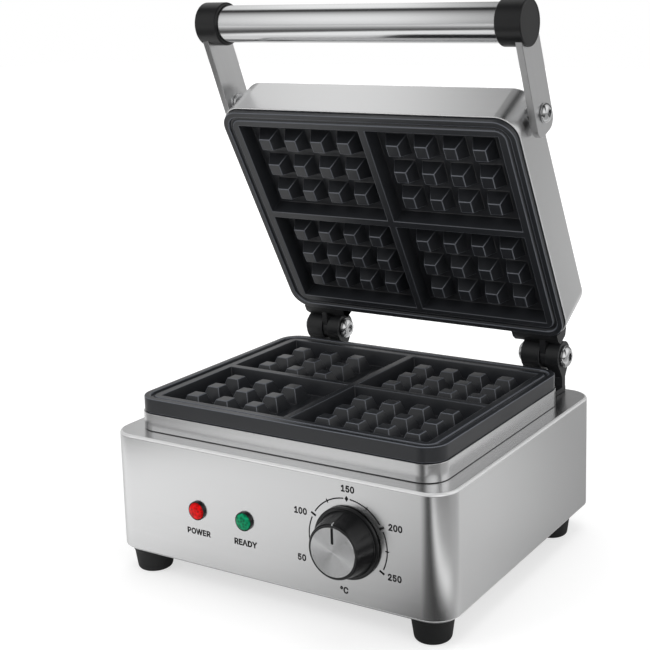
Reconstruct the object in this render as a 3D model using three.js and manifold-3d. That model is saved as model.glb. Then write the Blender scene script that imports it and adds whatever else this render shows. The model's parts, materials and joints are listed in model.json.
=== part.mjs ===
// Commercial waffle maker: a steel base with a cast lower plate, and a hinged lid with an upper plate.
// Millimetres. +X is right seen from the front, the control panel faces -Y, +Z is up.
// The origin is under the middle of the whole machine, on the surface it stands on.
import * as THREE from 'three';
import { mergeVertices } from 'three/addons/utils/BufferGeometryUtils.js';
import Module from 'manifold-3d';

// Clearances shared by all pieces
const SEAT = 0.3; // between two pieces that rest on each other
const FIT = 0.4; // round a piece that passes through a hole, each side
const OVERRUN = 5; // how far a cutting solid runs past what it cuts

// Base casing, folded from sheet and open underneath
const CASE_HEIGHT = 88;
const CASE_SIDE_MARGIN = 14; // plate to casing, each side
const CASE_FRONT_MARGIN = 14.5; // casing front to plate
const CASE_BACK_MARGIN = 33.5; // plate to casing back
const CASE_CORNER = 19; // outer radius of the upright corners
const CASE_BEND = 2.5; // outer radius of the fold round the top
const SHEET = 1.5;
const RETURN_WIDTH = 16; // lip folded inwards round the open bottom
const CASE_TOP_LEDGE = 10; // top sheet left inside the collar, all round

// Bottom cover and feet
const COVER_INSET = 3;
const COVER_CORNER = 16;
const VENT_LENGTH = 30;
const VENT_WIDTH = 4;
const VENT_PITCH = 12;
const VENT_COUNT = 5; // in each of the two rows
const VENT_ROW = 52; // each row's distance from the middle line
const FOOT_HEIGHT = 18;
const FOOT_TOP = 15.5; // radius under the casing
const FOOT_BOTTOM = 13;
const FOOT_ROUND = 2.5; // rounding of the lower rim
const FOOT_FROM_SIDE = 21;
const FOOT_FROM_FRONT = 19;
const FOOT_FROM_BACK = 36;
const FOOT_RECESS = 6; // radius of the recess for the screw head
const FOOT_SCREW = 2.5; // radius of the screw's shank
const FOOT_SCREW_HEAD = 4.5;
const FOOT_SCREW_HEAD_HEIGHT = 3;
const FOOT_RECESS_DEPTH = 10;
const FOOT_SCREW_REACH = 4; // above the casing's bottom lip

// Cooking plates: one casting for the base and its twin for the lid
const PLATE_WIDTH = 252;
const PLATE_DEPTH = 200;
const PLATE_CORNER = 16;
const FLANGE_HEIGHT = 11; // part of the plate that shows above its seat
const FLANGE_EDGE = 1; // rounding of the rim
const SPIGOT_HEIGHT = 8; // part of the plate that sits inside its seat
const SPIGOT_INSET = 3.5;
const GROOVE_FROM_EDGE = 4.5;
const GROOVE_WIDTH = 3.5;
const GROOVE_DEPTH = 2;
const LAND_DROP = 0.8; // the inner land lies this far below the rim
const CAVITY_SIDE_MARGIN = 14; // plate edge to cavity at the sides
const CAVITY_END_MARGIN = 13; // plate edge to cavity at front and back
const RIB_WIDTH = 6; // top of the cross ribs between the four cavities
const CAVITY_DEPTH = 13;
const CAVITY_DRAFT = 2; // how much each wall leans in at the floor
const PEG_PITCH = 24;
const PEG_TOP = 10;
const PEG_BASE = 18;
const PEG_HEIGHT = 11;
const SPARSE_FEWER = 1; // columns missing in the left cavities of the lower plate
const SPARSE_PITCH = 26.5;
const PLATE_GAP = 0.6; // between the rims when the lid is shut

// Collar that carries the lower plate
const COLLAR_HEIGHT = 13;
const COLLAR_PROUD = 0.8; // beyond the plate, each side

// Heaters and the trays that press them against the plates
const HEATER_RADIUS = 4;
const HEATER_SIDE_MARGIN = 11; // tray's edge to the heater's middle line
const HEATER_END_MARGIN = 20;
const HEATER_TAIL = 14; // length of the cold ends, square to the plate
const HEATER_TAIL_BEND = 6;
const TAIL_FROM_MIDDLE = 30;
const TRAY_SIDE_INSET = 13; // plate's edge to the tray
const TRAY_END_INSET = 14;
const TRAY_CORNER = 12;
const TRAY_SHEET = 1.2;
const TRAY_TAIL_HOLE = 8;
const PLATE_SCREW_FROM_LOOP = 24; // beyond the end of the heater's inner loop, under the long rib
const PLATE_SCREW_RADIUS = 3;
const PLATE_SCREW_DEPTH = 7; // into the plate
const PLATE_SCREW_HEAD = 5;
const PLATE_SCREW_HEAD_HEIGHT = 3;

// Lid casing
const LID_PROUD = 1.5; // beyond the plate, each side
const LID_DEPTH = 43; // from the rim of the upper plate to the back of the lid
const LID_LIP = 4.5; // how far the plate stands out of the lid casing
const LID_BEND = 3;
const PIVOT_NUT_RADIUS = 7;
const PIVOT_NUT_HEIGHT = 5;

// Hinges
const REST_OPEN = 61; // degrees from shut
const HINGE_BEHIND_PLATE = 24;
const HINGE_ABOVE_PLATE = 4.5;
const HINGE_FROM_SIDE = 24; // plate's side to the middle of the hinge
const BARREL_RADIUS = 12;
const BARREL_LEFT = 15.5; // length of the barrel on the left of each hinge
const BARREL_GAP = 5.5;
const BARREL_RIGHT = 11;
const LEG_THICK = 6;
const LEG_NECK = 17; // axis to the place where the barrel has narrowed to the leg
const BRACKET_FOOT_THICK = 4;
const BRACKET_FOOT_FRONT = 14.5; // axis to the front edge of the bracket's foot
const BRACKET_FOOT_BACK = 3.6;
const BRACKET_SLOT_FLOOR = 14.5; // axis to the bottom of the slot between the barrels
const TONGUE_RADIUS = 10.5;
const TONGUE_CLEARANCE = 0.5; // each side of the tongue
const LUG_TO_AXIS = 13.2; // back of the lug to the hinge axis
const LUG_HEIGHT = 19;
const LUG_FLARE = 7; // extra width where the lug meets the lid, on its inner side
const LUG_CHAMFER = 5;
const PIN_RADIUS = 5;
const PIN_HEAD = 8.75;
const PIN_HEAD_HEIGHT = 5;
const PIN_SOCKET = 3.4; // corner radius of the hexagon socket
const PIN_SOCKET_DEPTH = 2.8;
const PIN_NUT = 8.2;
const PIN_NUT_HEIGHT = 5;
const PIN_END = 3.5; // part of the pin inside its cap nut
const BRACKET_SCREW = 2;
const BRACKET_SCREW_HEAD = 3.6;
const BRACKET_SCREW_HEAD_HEIGHT = 2.2;
const BRACKET_SCREW_REACH = 6; // below the top sheet
const BRACKET_SCREW_FROM_END = 8;
const BRACKET_SCREW_BEFORE_AXIS = 10;

// Handle: a tube between two capped arms that pivot on the lid's sides
const PIVOT_FROM_FREE_EDGE = 12;
const PIVOT_ABOVE_RIM = 31;
const ARM_LENGTH = 68.5; // pivot to tube
const ARM_TILT = 6; // degrees from the plate, away from it
const ARM_WIDTH = 28;
const ARM_THICK = 5.2;
const ARM_GAP = 2.5; // lid side to arm
const ARM_END = 16; // pivot to the lower end of the arm
const ARM_END_RADIUS = 9;
const ARM_ABOVE_TUBE = 3; // how far the arm runs past the tube's axis
const ARM_HOLE = 4.4;
const TUBE_RADIUS = 14;
const TUBE_WALL = 1.5;
const CAP_RADIUS = 16.5;
const CAP_LENGTH = 20;
const CAP_END_WALL = 1.5; // beyond the arm
const CAP_EDGE = 1.5;
const CAP_WEB = 1.2; // between the tube's end and the arm
const PIVOT_RADIUS = 4;
const PIVOT_HEAD = 7.2;
const PIVOT_HEAD_HEIGHT = 4.2;
const PIVOT_SOCKET = 2.9;
const PIVOT_SOCKET_DEPTH = 2.2;
const WASHER_RADIUS = 8;

// Control panel
const KNOB_FROM_SIDE = 74.3; // right side of the casing to the dial
const KNOB_Z = 43.3; // above the bottom of the casing
const LAMP_Z = 41.7;
const LAMP_FROM_SIDE = 79.8; // left side of the casing to the red lamp
const LAMP_PITCH = 41.2;
const KNOB_SKIRT = 25.2;
const KNOB_SKIRT_THICK = 2.6;
const KNOB_SKIRT_EDGE = 0.8;
const KNOB_NECK = 22.4; // radius at the foot of the grip
const KNOB_TOP = 18.4;
const KNOB_LENGTH = 17.5;
const KNOB_GAP = 0.8; // panel to skirt
const KNOB_RECESS = 12;
const KNOB_RECESS_DEPTH = 6.5;
const KNOB_CAP = 17.2;
const KNOB_CAP_THICK = 1;
const KNOB_CAP_SEAT = 0.7; // depth of the recess for the cap
const SHAFT_RADIUS = 3;
const SHAFT_DEPTH = 12; // into the knob
const BUSH_RADIUS = 5;
const BUSH_LENGTH = 5.5; // in front of the panel
const BUSH_NUT = 8.5;
const BUSH_NUT_HEIGHT = 3;
const THERMOSTAT_WIDTH = 42;
const THERMOSTAT_HEIGHT = 34;
const THERMOSTAT_DEPTH = 26;
const BULB_RADIUS = 3;
const BULB_LENGTH = 90;
const CAPILLARY_RADIUS = 1.2;
const BULB_FRONT_OFFSET = 30; // bulb's distance in front of the plate's middle line
const BEZEL_RADIUS = 6.9;
const BEZEL_THICK = 2.4;
const BEZEL_EDGE = 0.8;
const BEZEL_BORE = 5.2;
const LENS_RADIUS = 4.8;
const LENS_RISE = 3.4; // height of the dome above the panel
const LENS_DOME = 1.6; // height of the domed part
const LAMP_STEM = 4.1;
const LAMP_BODY_RADIUS = 5.8;
const LAMP_BODY_LENGTH = 24;
const LAMP_BODY_WALL = 1.2;

// Electrical pieces inside and at the back
const TERMINAL_WIDTH = 48;
const TERMINAL_DEPTH = 20;
const TERMINAL_HEIGHT = 18;
const TERMINAL_FROM_SIDE = 80;
const TERMINAL_FROM_BACK = 38;
const TERMINAL_WAY = 3.4; // radius of each wire way
const TERMINAL_WAYS = 3;
const TERMINAL_PITCH = 14;
const GLAND_FROM_SIDE = 44;
const GLAND_Z = 24; // above the bottom of the casing
const GLAND_BORE = 4.5;
const GLAND_THREAD = 7.5;
const GLAND_HEX = 12;
const GLAND_HEX_HEIGHT = 5;
const GLAND_DOME = 10;
const GLAND_LENGTH = 22;
const GLAND_CROWN = 6.6; // length of the tapered end
const GLAND_INSIDE = 9;
const GLAND_NUT_HEIGHT = 4;
const GROMMET_BORE = 4;
const GROMMET_NECK = 6.5;
const GROMMET_FLANGE = 9;
const GROMMET_LIP = 1.8;
const GROMMET_FROM_BACK = 14; // on the base's top sheet
const GROMMET_ABOVE_RIM = 26; // on the lid's back wall

// Profile of a domed screw head, as shares of its radius and of its height
const BUTTON_HEAD_SHARES = [[1, 0], [1, 0.25], [0.9, 0.6], [0.72, 0.88], [0.55, 1]];

// Facets
const CORNER_STEPS = 4;
const EDGE_STEPS = 2;
const ROUND_STEPS = 20;
const SMALL_STEPS = 10;
const HEATER_SIDES = 6;
const BEND_STEPS = 4;
const CAPILLARY_SIDES = 6;
const CAPILLARY_STEPS = 24;
const HEX = 6;

// Sizes, levels and places worked out from the sizes above
const CASE_WIDTH = PLATE_WIDTH + 2 * CASE_SIDE_MARGIN;
const CASE_DEPTH = CASE_FRONT_MARGIN + PLATE_DEPTH + CASE_BACK_MARGIN;
const COVER_TOP = FOOT_HEIGHT + SEAT + SHEET;
const CASE_BOTTOM = COVER_TOP + SEAT;
const CASE_TOP = CASE_BOTTOM + CASE_HEIGHT;
const FRONT = -CASE_DEPTH / 2;
const BACK = CASE_DEPTH / 2;
const PLATE_Y = FRONT + CASE_FRONT_MARGIN + PLATE_DEPTH / 2;
const COLLAR_TOP = CASE_TOP + SEAT + COLLAR_HEIGHT;
const LOWER_RIM = COLLAR_TOP + SEAT + FLANGE_HEIGHT;
const PLATE_BACK = PLATE_Y + PLATE_DEPTH / 2;
const HINGE_Y = PLATE_BACK + HINGE_BEHIND_PLATE;
const HINGE_Z = LOWER_RIM + HINGE_ABOVE_PLATE;
const HINGE_LENGTH = BARREL_LEFT + BARREL_GAP + BARREL_RIGHT;
const HINGE_OFFSET = PLATE_WIDTH / 2 - HINGE_FROM_SIDE;
const KNOB_X = CASE_WIDTH / 2 - KNOB_FROM_SIDE;
const RED_LAMP_X = LAMP_FROM_SIDE - CASE_WIDTH / 2;
const TERMINAL_X = TERMINAL_FROM_SIDE - CASE_WIDTH / 2;
const GLAND_X = GLAND_FROM_SIDE - CASE_WIDTH / 2;
const TRAY_WIDTH = PLATE_WIDTH - 2 * TRAY_SIDE_INSET;
const TRAY_DEPTH = PLATE_DEPTH - 2 * TRAY_END_INSET;
const HEATER_END = TRAY_WIDTH / 2 - HEATER_SIDE_MARGIN;
const HEATER_BEND = (TRAY_DEPTH / 2 - HEATER_END_MARGIN) / 3; // a third, so that the four runs lie evenly
const INNER_LOOP_END = HEATER_END - 3 * HEATER_BEND;
const PLATE_SCREW_OFFSET = INNER_LOOP_END + PLATE_SCREW_FROM_LOOP; // to each side of the middle
const TRAY_INSIDE = 2 * HEATER_RADIUS + 2 * SEAT;
const PLATE_THICK = FLANGE_HEIGHT + SPIGOT_HEIGHT;
const LOWER_PLATE_BOTTOM = LOWER_RIM - PLATE_THICK;

const X_AXIS = new THREE.Vector3(1, 0, 0);
const Z_AXIS = new THREE.Vector3(0, 0, 1);
const TO_FRONT = new THREE.Vector3(0, -1, 0);
const TO_BACK = new THREE.Vector3(0, 1, 0);

const wasm = await Module();
wasm.setup();

// Solids: three.js geometry in, closed manifold out
function solid(geometry) {
  const bare = geometry.clone();
  bare.deleteAttribute('normal');
  bare.deleteAttribute('uv');
  const merged = mergeVertices(bare);
  return new wasm.Manifold(new wasm.Mesh({
    numProp: 3,
    vertProperties: new Float32Array(merged.attributes.position.array),
    triVerts: new Uint32Array(merged.index.array),
  }));
}

function join(first, ...rest) {
  return rest.reduce((whole, piece) => whole.add(piece), first);
}

function cut(whole, ...tools) {
  return tools.reduce((left, tool) => left.subtract(tool), whole);
}

function meshOf(name, manifold, material) {
  const mesh = manifold.getMesh();
  const geometry = new THREE.BufferGeometry();
  geometry.setAttribute('position', new THREE.BufferAttribute(mesh.vertProperties, mesh.numProp));
  geometry.setIndex(new THREE.BufferAttribute(mesh.triVerts, 1));
  geometry.computeVertexNormals();
  const made = new THREE.Mesh(geometry, material());
  made.name = name;
  return made;
}

// Shapes
function roundedRectangle(width, depth, corner) {
  const x = width / 2 - corner;
  const y = depth / 2 - corner;
  const quarter = Math.PI / 2;
  const shape = new THREE.Shape();
  shape.moveTo(x + corner, -y);
  shape.absarc(x, y, corner, 0, quarter, false);
  shape.absarc(-x, y, corner, quarter, 2 * quarter, false);
  shape.absarc(-x, -y, corner, 2 * quarter, 3 * quarter, false);
  shape.absarc(x, -y, corner, 3 * quarter, 4 * quarter, false);
  return shape;
}

function outline(points) {
  return new THREE.Shape(points.map(([x, y]) => new THREE.Vector2(x, y)));
}

function extruded(shape, height) {
  const options = { depth: height, bevelEnabled: false, curveSegments: CORNER_STEPS };
  return new THREE.ExtrudeGeometry(shape, options);
}

function slab(width, depth, corner, from, to) {
  return solid(extruded(roundedRectangle(width, depth, corner), to - from).translate(0, 0, from));
}

// A slab whose upper edge is rounded: the bevel shapes both ends, and the lower one is cut away.
function crownedSlab(width, depth, corner, edge, from, to) {
  const geometry = new THREE.ExtrudeGeometry(roundedRectangle(width, depth, corner), {
    depth: to - from,
    bevelEnabled: true,
    bevelThickness: edge,
    bevelSize: edge,
    bevelOffset: -edge,
    bevelSegments: EDGE_STEPS,
    curveSegments: CORNER_STEPS,
  });
  geometry.translate(0, 0, from - edge);
  const below = block(width + OVERRUN, depth + OVERRUN, OVERRUN + edge, 0, 0, from - OVERRUN - edge);
  return cut(solid(geometry), below);
}

function block(width, depth, height, x, y, base) {
  return solid(new THREE.BoxGeometry(width, depth, height).translate(x, y, base + height / 2));
}

// A box whose top and bottom differ in size, standing on its bottom
function taperedBlock(bottom, top, height, x, y, base) {
  const geometry = new THREE.BoxGeometry(1, 1, height);
  const corners = geometry.attributes.position;
  for (let i = 0; i < corners.count; i += 1) {
    const size = corners.getZ(i) > 0 ? top : bottom;
    corners.setXY(i, corners.getX(i) * size.width, corners.getY(i) * size.depth);
  }
  return solid(geometry.translate(x, y, base + height / 2));
}

// A turned piece: [radius, distance along the axis] pairs from a point in a direction
function turned(profile, axis, at, steps = ROUND_STEPS) {
  const points = profile.map(([radius, along]) => new THREE.Vector2(radius, along));
  const geometry = new THREE.LatheGeometry(points, steps);
  const turn = new THREE.Quaternion().setFromUnitVectors(new THREE.Vector3(0, 1, 0), axis);
  return solid(geometry.applyQuaternion(turn).translate(at.x, at.y, at.z));
}

function rod(radius, from, to, axis, at, steps = ROUND_STEPS) {
  return turned([[0, from], [radius, from], [radius, to], [0, to]], axis, at, steps);
}

function hexagon(radius, from, to, axis, at) {
  return rod(radius, from, to, axis, at, HEX);
}

function point(x, y, z) {
  return new THREE.Vector3(x, y, z);
}

// A solid whose outline lies in the plane across X, given as [y, z] pairs or a shape, from one x to another
function acrossX(shape, from, to) {
  const geometry = extruded(shape, to - from);
  const turn = new THREE.Matrix4().makeBasis(point(0, 1, 0), point(0, 0, 1), point(1, 0, 0));
  return solid(geometry.applyMatrix4(turn).translate(from, 0, 0));
}

// A tube of round section along a curve
function tubeAlong(curve, radius, sides, steps) {
  const section = new THREE.Shape();
  section.absarc(0, 0, radius, 0, 2 * Math.PI, false);
  return solid(new THREE.ExtrudeGeometry(section, {
    steps,
    extrudePath: curve,
    bevelEnabled: false,
    curveSegments: sides,
  }));
}

// Materials
const steel = () => new THREE.MeshStandardMaterial({ color: 0xc4c6c8, roughness: 0.32, metalness: 1 });
const bareSheet = () => new THREE.MeshStandardMaterial({ color: 0xb4b7b9, roughness: 0.5, metalness: 1 });
const chrome = () => new THREE.MeshStandardMaterial({ color: 0xe2e3e4, roughness: 0.12, metalness: 1 });
const castBlack = () => new THREE.MeshStandardMaterial({ color: 0x26272a, roughness: 0.55, metalness: 0.1 });
const blackPlastic = () => new THREE.MeshStandardMaterial({ color: 0x1b1b1d, roughness: 0.42 });
const rubber = () => new THREE.MeshStandardMaterial({ color: 0x18181a, roughness: 0.8 });
const aluminium = () => new THREE.MeshStandardMaterial({ color: 0xc9cacb, roughness: 0.3, metalness: 1 });
const sheath = () => new THREE.MeshStandardMaterial({ color: 0x5d5f60, roughness: 0.55, metalness: 0.9 });
const copper = () => new THREE.MeshStandardMaterial({ color: 0xb0714a, roughness: 0.35, metalness: 1 });
const redLens = () => new THREE.MeshStandardMaterial({ color: 0xc01018, roughness: 0.12 });
const greenLens = () => new THREE.MeshStandardMaterial({ color: 0x0c7a4c, roughness: 0.12 });
const ceramic = () => new THREE.MeshStandardMaterial({ color: 0xe6e2d8, roughness: 0.6 });

// Cooking plate with its rim at z = 0 and its body below, centred on x and y
function cookingPlate(leftFewer, leftPitch) {
  const flange = crownedSlab(PLATE_WIDTH, PLATE_DEPTH, PLATE_CORNER, FLANGE_EDGE, -FLANGE_HEIGHT, 0);
  const spigotWidth = PLATE_WIDTH - 2 * SPIGOT_INSET;
  const spigotDepth = PLATE_DEPTH - 2 * SPIGOT_INSET;
  const spigot = slab(spigotWidth, spigotDepth, PLATE_CORNER - SPIGOT_INSET, -PLATE_THICK, -FLANGE_HEIGHT);
  const grooveEnd = GROOVE_FROM_EDGE + GROOVE_WIDTH;
  const inside = (inset, from, to) => slab(
    PLATE_WIDTH - 2 * inset, PLATE_DEPTH - 2 * inset, PLATE_CORNER - inset, from, to,
  );
  const groove = cut(
    inside(GROOVE_FROM_EDGE, -GROOVE_DEPTH, OVERRUN),
    inside(grooveEnd, -GROOVE_DEPTH - OVERRUN, 2 * OVERRUN),
  );
  const land = inside(grooveEnd - GROOVE_WIDTH / 2, -LAND_DROP, OVERRUN);
  const cavityWidth = PLATE_WIDTH / 2 - CAVITY_SIDE_MARGIN - RIB_WIDTH / 2;
  const cavityDepth = PLATE_DEPTH / 2 - CAVITY_END_MARGIN - RIB_WIDTH / 2;
  const cavityX = RIB_WIDTH / 2 + cavityWidth / 2;
  const cavityY = RIB_WIDTH / 2 + cavityDepth / 2;
  const opening = { width: cavityWidth, depth: cavityDepth };
  const floor = { width: cavityWidth - 2 * CAVITY_DRAFT, depth: cavityDepth - 2 * CAVITY_DRAFT };
  const pegsAlong = (length) => Math.floor((length - PEG_BASE) / PEG_PITCH) + 1;
  const fullColumns = pegsAlong(floor.width);
  const rows = pegsAlong(floor.depth);
  const pegFoot = { width: PEG_BASE, depth: PEG_BASE };
  const pegHead = { width: PEG_TOP, depth: PEG_TOP };
  let plate = cut(join(flange, spigot), groove, land);
  for (const side of [-1, 1]) {
    for (const end of [-1, 1]) {
      const x = side * cavityX;
      const y = end * cavityY;
      plate = cut(plate, taperedBlock(floor, opening, CAVITY_DEPTH, x, y, -CAVITY_DEPTH));
      const columns = side < 0 ? fullColumns - leftFewer : fullColumns;
      const pitch = side < 0 ? leftPitch : PEG_PITCH;
      const firstX = x - (fullColumns - 1) / 2 * PEG_PITCH;
      for (let column = 0; column < columns; column += 1) {
        for (let row = 0; row < rows; row += 1) {
          const pegX = firstX + column * pitch;
          const pegY = y + (row - (rows - 1) / 2) * PEG_PITCH;
          const peg = taperedBlock(pegFoot, pegHead, PEG_HEIGHT, pegX, pegY, -CAVITY_DEPTH);
          plate = join(plate, peg);
        }
      }
    }
  }
  for (const side of [-1, 1]) {
    const bottom = point(side * PLATE_SCREW_OFFSET, 0, -PLATE_THICK);
    const radius = PLATE_SCREW_RADIUS + FIT;
    plate = cut(plate, rod(radius, -OVERRUN, PLATE_SCREW_DEPTH + SEAT, Z_AXIS, bottom, SMALL_STEPS));
  }
  return plate;
}

// A route followed point by point, so that its straight runs need no steps
class Route extends THREE.Curve {
  constructor(points) {
    super();
    this.points = points;
  }

  getPoint(t, target = new THREE.Vector3()) {
    const place = t * (this.points.length - 1);
    const before = Math.max(0, Math.min(Math.floor(place), this.points.length - 2));
    return target.lerpVectors(this.points[before], this.points[before + 1], place - before);
  }

  getPointAt(u, target) {
    return this.getPoint(u, target);
  }

  getTangentAt(u, target) {
    return this.getTangent(u, target);
  }
}

// The points of a route whose right-angled corners, given as [point, radius] pairs, are rounded
function roundedCorners(corners) {
  const points = [corners[0][0]];
  for (let i = 1; i < corners.length - 1; i += 1) {
    const [corner, radius] = corners[i];
    const back = corners[i - 1][0].clone().sub(corner).setLength(radius);
    const onward = corners[i + 1][0].clone().sub(corner).setLength(radius);
    const centre = corner.clone().add(back).add(onward);
    for (let step = 0; step <= BEND_STEPS; step += 1) {
      const angle = step / BEND_STEPS * Math.PI / 2;
      const place = centre.clone()
        .addScaledVector(onward, -Math.cos(angle))
        .addScaledVector(back, -Math.sin(angle));
      if (place.distanceTo(points[points.length - 1]) > radius / BEND_STEPS / 2) points.push(place);
    }
  }
  points.push(corners[corners.length - 1][0]);
  return points;
}

// Heater: one sheathed tube in two loops under a plate whose underside is at z = 0
function heater() {
  const level = -SEAT - HEATER_RADIUS;
  const inner = HEATER_BEND;
  const outer = 3 * HEATER_BEND;
  const end = HEATER_END;
  const flat = (x, y) => [point(x, y, level), HEATER_BEND];
  const tail = (x, z) => [point(x, outer, z), HEATER_TAIL_BEND];
  const route = new Route(roundedCorners([
    tail(-TAIL_FROM_MIDDLE, level - HEATER_TAIL),
    tail(-TAIL_FROM_MIDDLE, level),
    flat(-end, outer),
    flat(-end, inner),
    flat(INNER_LOOP_END, inner),
    flat(INNER_LOOP_END, -inner),
    flat(-end, -inner),
    flat(-end, -outer),
    flat(end, -outer),
    flat(end, outer),
    tail(TAIL_FROM_MIDDLE, level),
    tail(TAIL_FROM_MIDDLE, level - HEATER_TAIL),
  ]));
  return tubeAlong(route, HEATER_RADIUS, HEATER_SIDES / 2, route.points.length - 1);
}

// Tray that presses the heater to the plate; the plate's underside is at z = 0
function heaterTray() {
  const top = -SEAT;
  const bottom = top - TRAY_INSIDE - TRAY_SHEET;
  const outside = slab(TRAY_WIDTH, TRAY_DEPTH, TRAY_CORNER, bottom, top);
  const inside = slab(
    TRAY_WIDTH - 2 * TRAY_SHEET, TRAY_DEPTH - 2 * TRAY_SHEET, TRAY_CORNER - TRAY_SHEET,
    bottom + TRAY_SHEET, top + OVERRUN,
  );
  const holes = [];
  for (const side of [-1, 1]) {
    const tail = point(side * TAIL_FROM_MIDDLE, 3 * HEATER_BEND, bottom);
    const screw = point(side * PLATE_SCREW_OFFSET, 0, bottom);
    holes.push(rod(TRAY_TAIL_HOLE, -OVERRUN, OVERRUN, Z_AXIS, tail, SMALL_STEPS));
    holes.push(rod(PLATE_SCREW_RADIUS + FIT, -OVERRUN, OVERRUN, Z_AXIS, screw, SMALL_STEPS));
  }
  return cut(outside, inside, ...holes);
}

function plateScrew(x) {
  const seat = -2 * SEAT - TRAY_INSIDE - TRAY_SHEET;
  const shank = rod(PLATE_SCREW_RADIUS, 0, PLATE_SCREW_DEPTH - seat, Z_AXIS, point(x, 0, seat), SMALL_STEPS);
  return join(shank, hexagon(PLATE_SCREW_HEAD, -PLATE_SCREW_HEAD_HEIGHT, 0, Z_AXIS, point(x, 0, seat)));
}

// Sheet pan open at the bottom, with a rounded upper edge
function pan(width, depth, corner, edge, sheet, from, to) {
  const outside = crownedSlab(width, depth, corner, edge, from, to);
  const inside = crownedSlab(
    width - 2 * sheet, depth - 2 * sheet, corner - sheet, edge - sheet, from - OVERRUN, to - sheet,
  );
  return cut(outside, inside);
}

function hingeScrewPlaces(hingeX) {
  const left = hingeX - HINGE_LENGTH / 2;
  const y = HINGE_Y - BRACKET_SCREW_BEFORE_AXIS;
  return [left + BRACKET_SCREW_FROM_END, left + HINGE_LENGTH - BRACKET_SCREW_FROM_END]
    .map((x) => point(x, y, CASE_TOP));
}

function footPlaces() {
  const x = CASE_WIDTH / 2 - FOOT_FROM_SIDE;
  const places = {};
  for (const [end, y] of [['front', FRONT + FOOT_FROM_FRONT], ['rear', BACK - FOOT_FROM_BACK]]) {
    for (const [side, sign] of [['left', -1], ['right', 1]]) {
      places[`${end}_${side}`] = point(sign * x, y, 0);
    }
  }
  return places;
}

const LAMPS = [
  { name: 'red', x: RED_LAMP_X, lens: redLens },
  { name: 'green', x: RED_LAMP_X + LAMP_PITCH, lens: greenLens },
];
const HINGES = [
  { name: 'left', x: -HINGE_OFFSET, inner: 1 },
  { name: 'right', x: HINGE_OFFSET, inner: -1 },
];

function onPanel(x, z) {
  return point(x, FRONT, CASE_BOTTOM + z);
}

function baseCasing() {
  const body = pan(CASE_WIDTH, CASE_DEPTH, CASE_CORNER, CASE_BEND, SHEET, CASE_BOTTOM, CASE_TOP);
  const lipOuter = slab(
    CASE_WIDTH - SHEET, CASE_DEPTH - SHEET, CASE_CORNER - SHEET / 2, CASE_BOTTOM, CASE_BOTTOM + SHEET,
  );
  const lipInner = slab(
    CASE_WIDTH - 2 * RETURN_WIDTH, CASE_DEPTH - 2 * RETURN_WIDTH, CASE_CORNER,
    CASE_BOTTOM - OVERRUN, CASE_BOTTOM + OVERRUN,
  );
  const topOpening = slab(
    PLATE_WIDTH - 2 * CASE_TOP_LEDGE, PLATE_DEPTH - 2 * CASE_TOP_LEDGE, PLATE_CORNER / 2,
    -OVERRUN, OVERRUN,
  ).translate([0, PLATE_Y, CASE_TOP]);
  const holes = [topOpening];
  holes.push(rod(BUSH_RADIUS + FIT, -OVERRUN, OVERRUN, TO_FRONT, onPanel(KNOB_X, KNOB_Z), SMALL_STEPS));
  for (const lamp of LAMPS) {
    const at = onPanel(lamp.x, LAMP_Z);
    holes.push(rod(LAMP_BODY_RADIUS + FIT, -OVERRUN, OVERRUN, TO_FRONT, at, SMALL_STEPS));
  }
  for (const hinge of HINGES) {
    for (const place of hingeScrewPlaces(hinge.x)) {
      holes.push(rod(BRACKET_SCREW + FIT, -OVERRUN, OVERRUN, Z_AXIS, place, SMALL_STEPS));
    }
  }
  for (const place of Object.values(footPlaces())) {
    const at = place.clone().setZ(CASE_BOTTOM);
    holes.push(rod(FOOT_SCREW + FIT, -OVERRUN, OVERRUN, Z_AXIS, at, SMALL_STEPS));
  }
  const gland = point(GLAND_X, BACK, CASE_BOTTOM + GLAND_Z);
  holes.push(rod(GLAND_THREAD + FIT, -OVERRUN, OVERRUN, TO_BACK, gland, SMALL_STEPS));
  const grommetPlace = point(0, BACK - GROMMET_FROM_BACK, CASE_TOP);
  holes.push(rod(GROMMET_NECK + FIT, -OVERRUN, OVERRUN, Z_AXIS, grommetPlace, SMALL_STEPS));
  return cut(join(body, cut(lipOuter, lipInner)), ...holes);
}

function bottomCover() {
  const sheet = slab(
    CASE_WIDTH - 2 * COVER_INSET, CASE_DEPTH - 2 * COVER_INSET, COVER_CORNER, COVER_TOP - SHEET, COVER_TOP,
  );
  const holes = Object.values(footPlaces()).map((place) => (
    rod(FOOT_SCREW + FIT, -OVERRUN, OVERRUN, Z_AXIS, place.clone().setZ(COVER_TOP), SMALL_STEPS)
  ));
  for (const row of [-1, 1]) {
    for (let slot = 0; slot < VENT_COUNT; slot += 1) {
      const y = (slot - (VENT_COUNT - 1) / 2) * VENT_PITCH;
      const height = SHEET + 2 * OVERRUN;
      holes.push(block(VENT_LENGTH, VENT_WIDTH, height, row * VENT_ROW, y, COVER_TOP - SHEET - OVERRUN));
    }
  }
  return cut(sheet, ...holes);
}

function foot(at) {
  const profile = [
    [FOOT_RECESS, 0],
    [FOOT_BOTTOM - FOOT_ROUND, 0],
    [FOOT_BOTTOM - FOOT_ROUND / 3, FOOT_ROUND / 3],
    [FOOT_BOTTOM, FOOT_ROUND],
    [FOOT_TOP, FOOT_HEIGHT],
    [FOOT_SCREW + FIT, FOOT_HEIGHT],
    [FOOT_SCREW + FIT, FOOT_RECESS_DEPTH],
    [FOOT_RECESS, FOOT_RECESS_DEPTH],
    [FOOT_RECESS, 0],
  ];
  return turned(profile, Z_AXIS, at);
}

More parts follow.
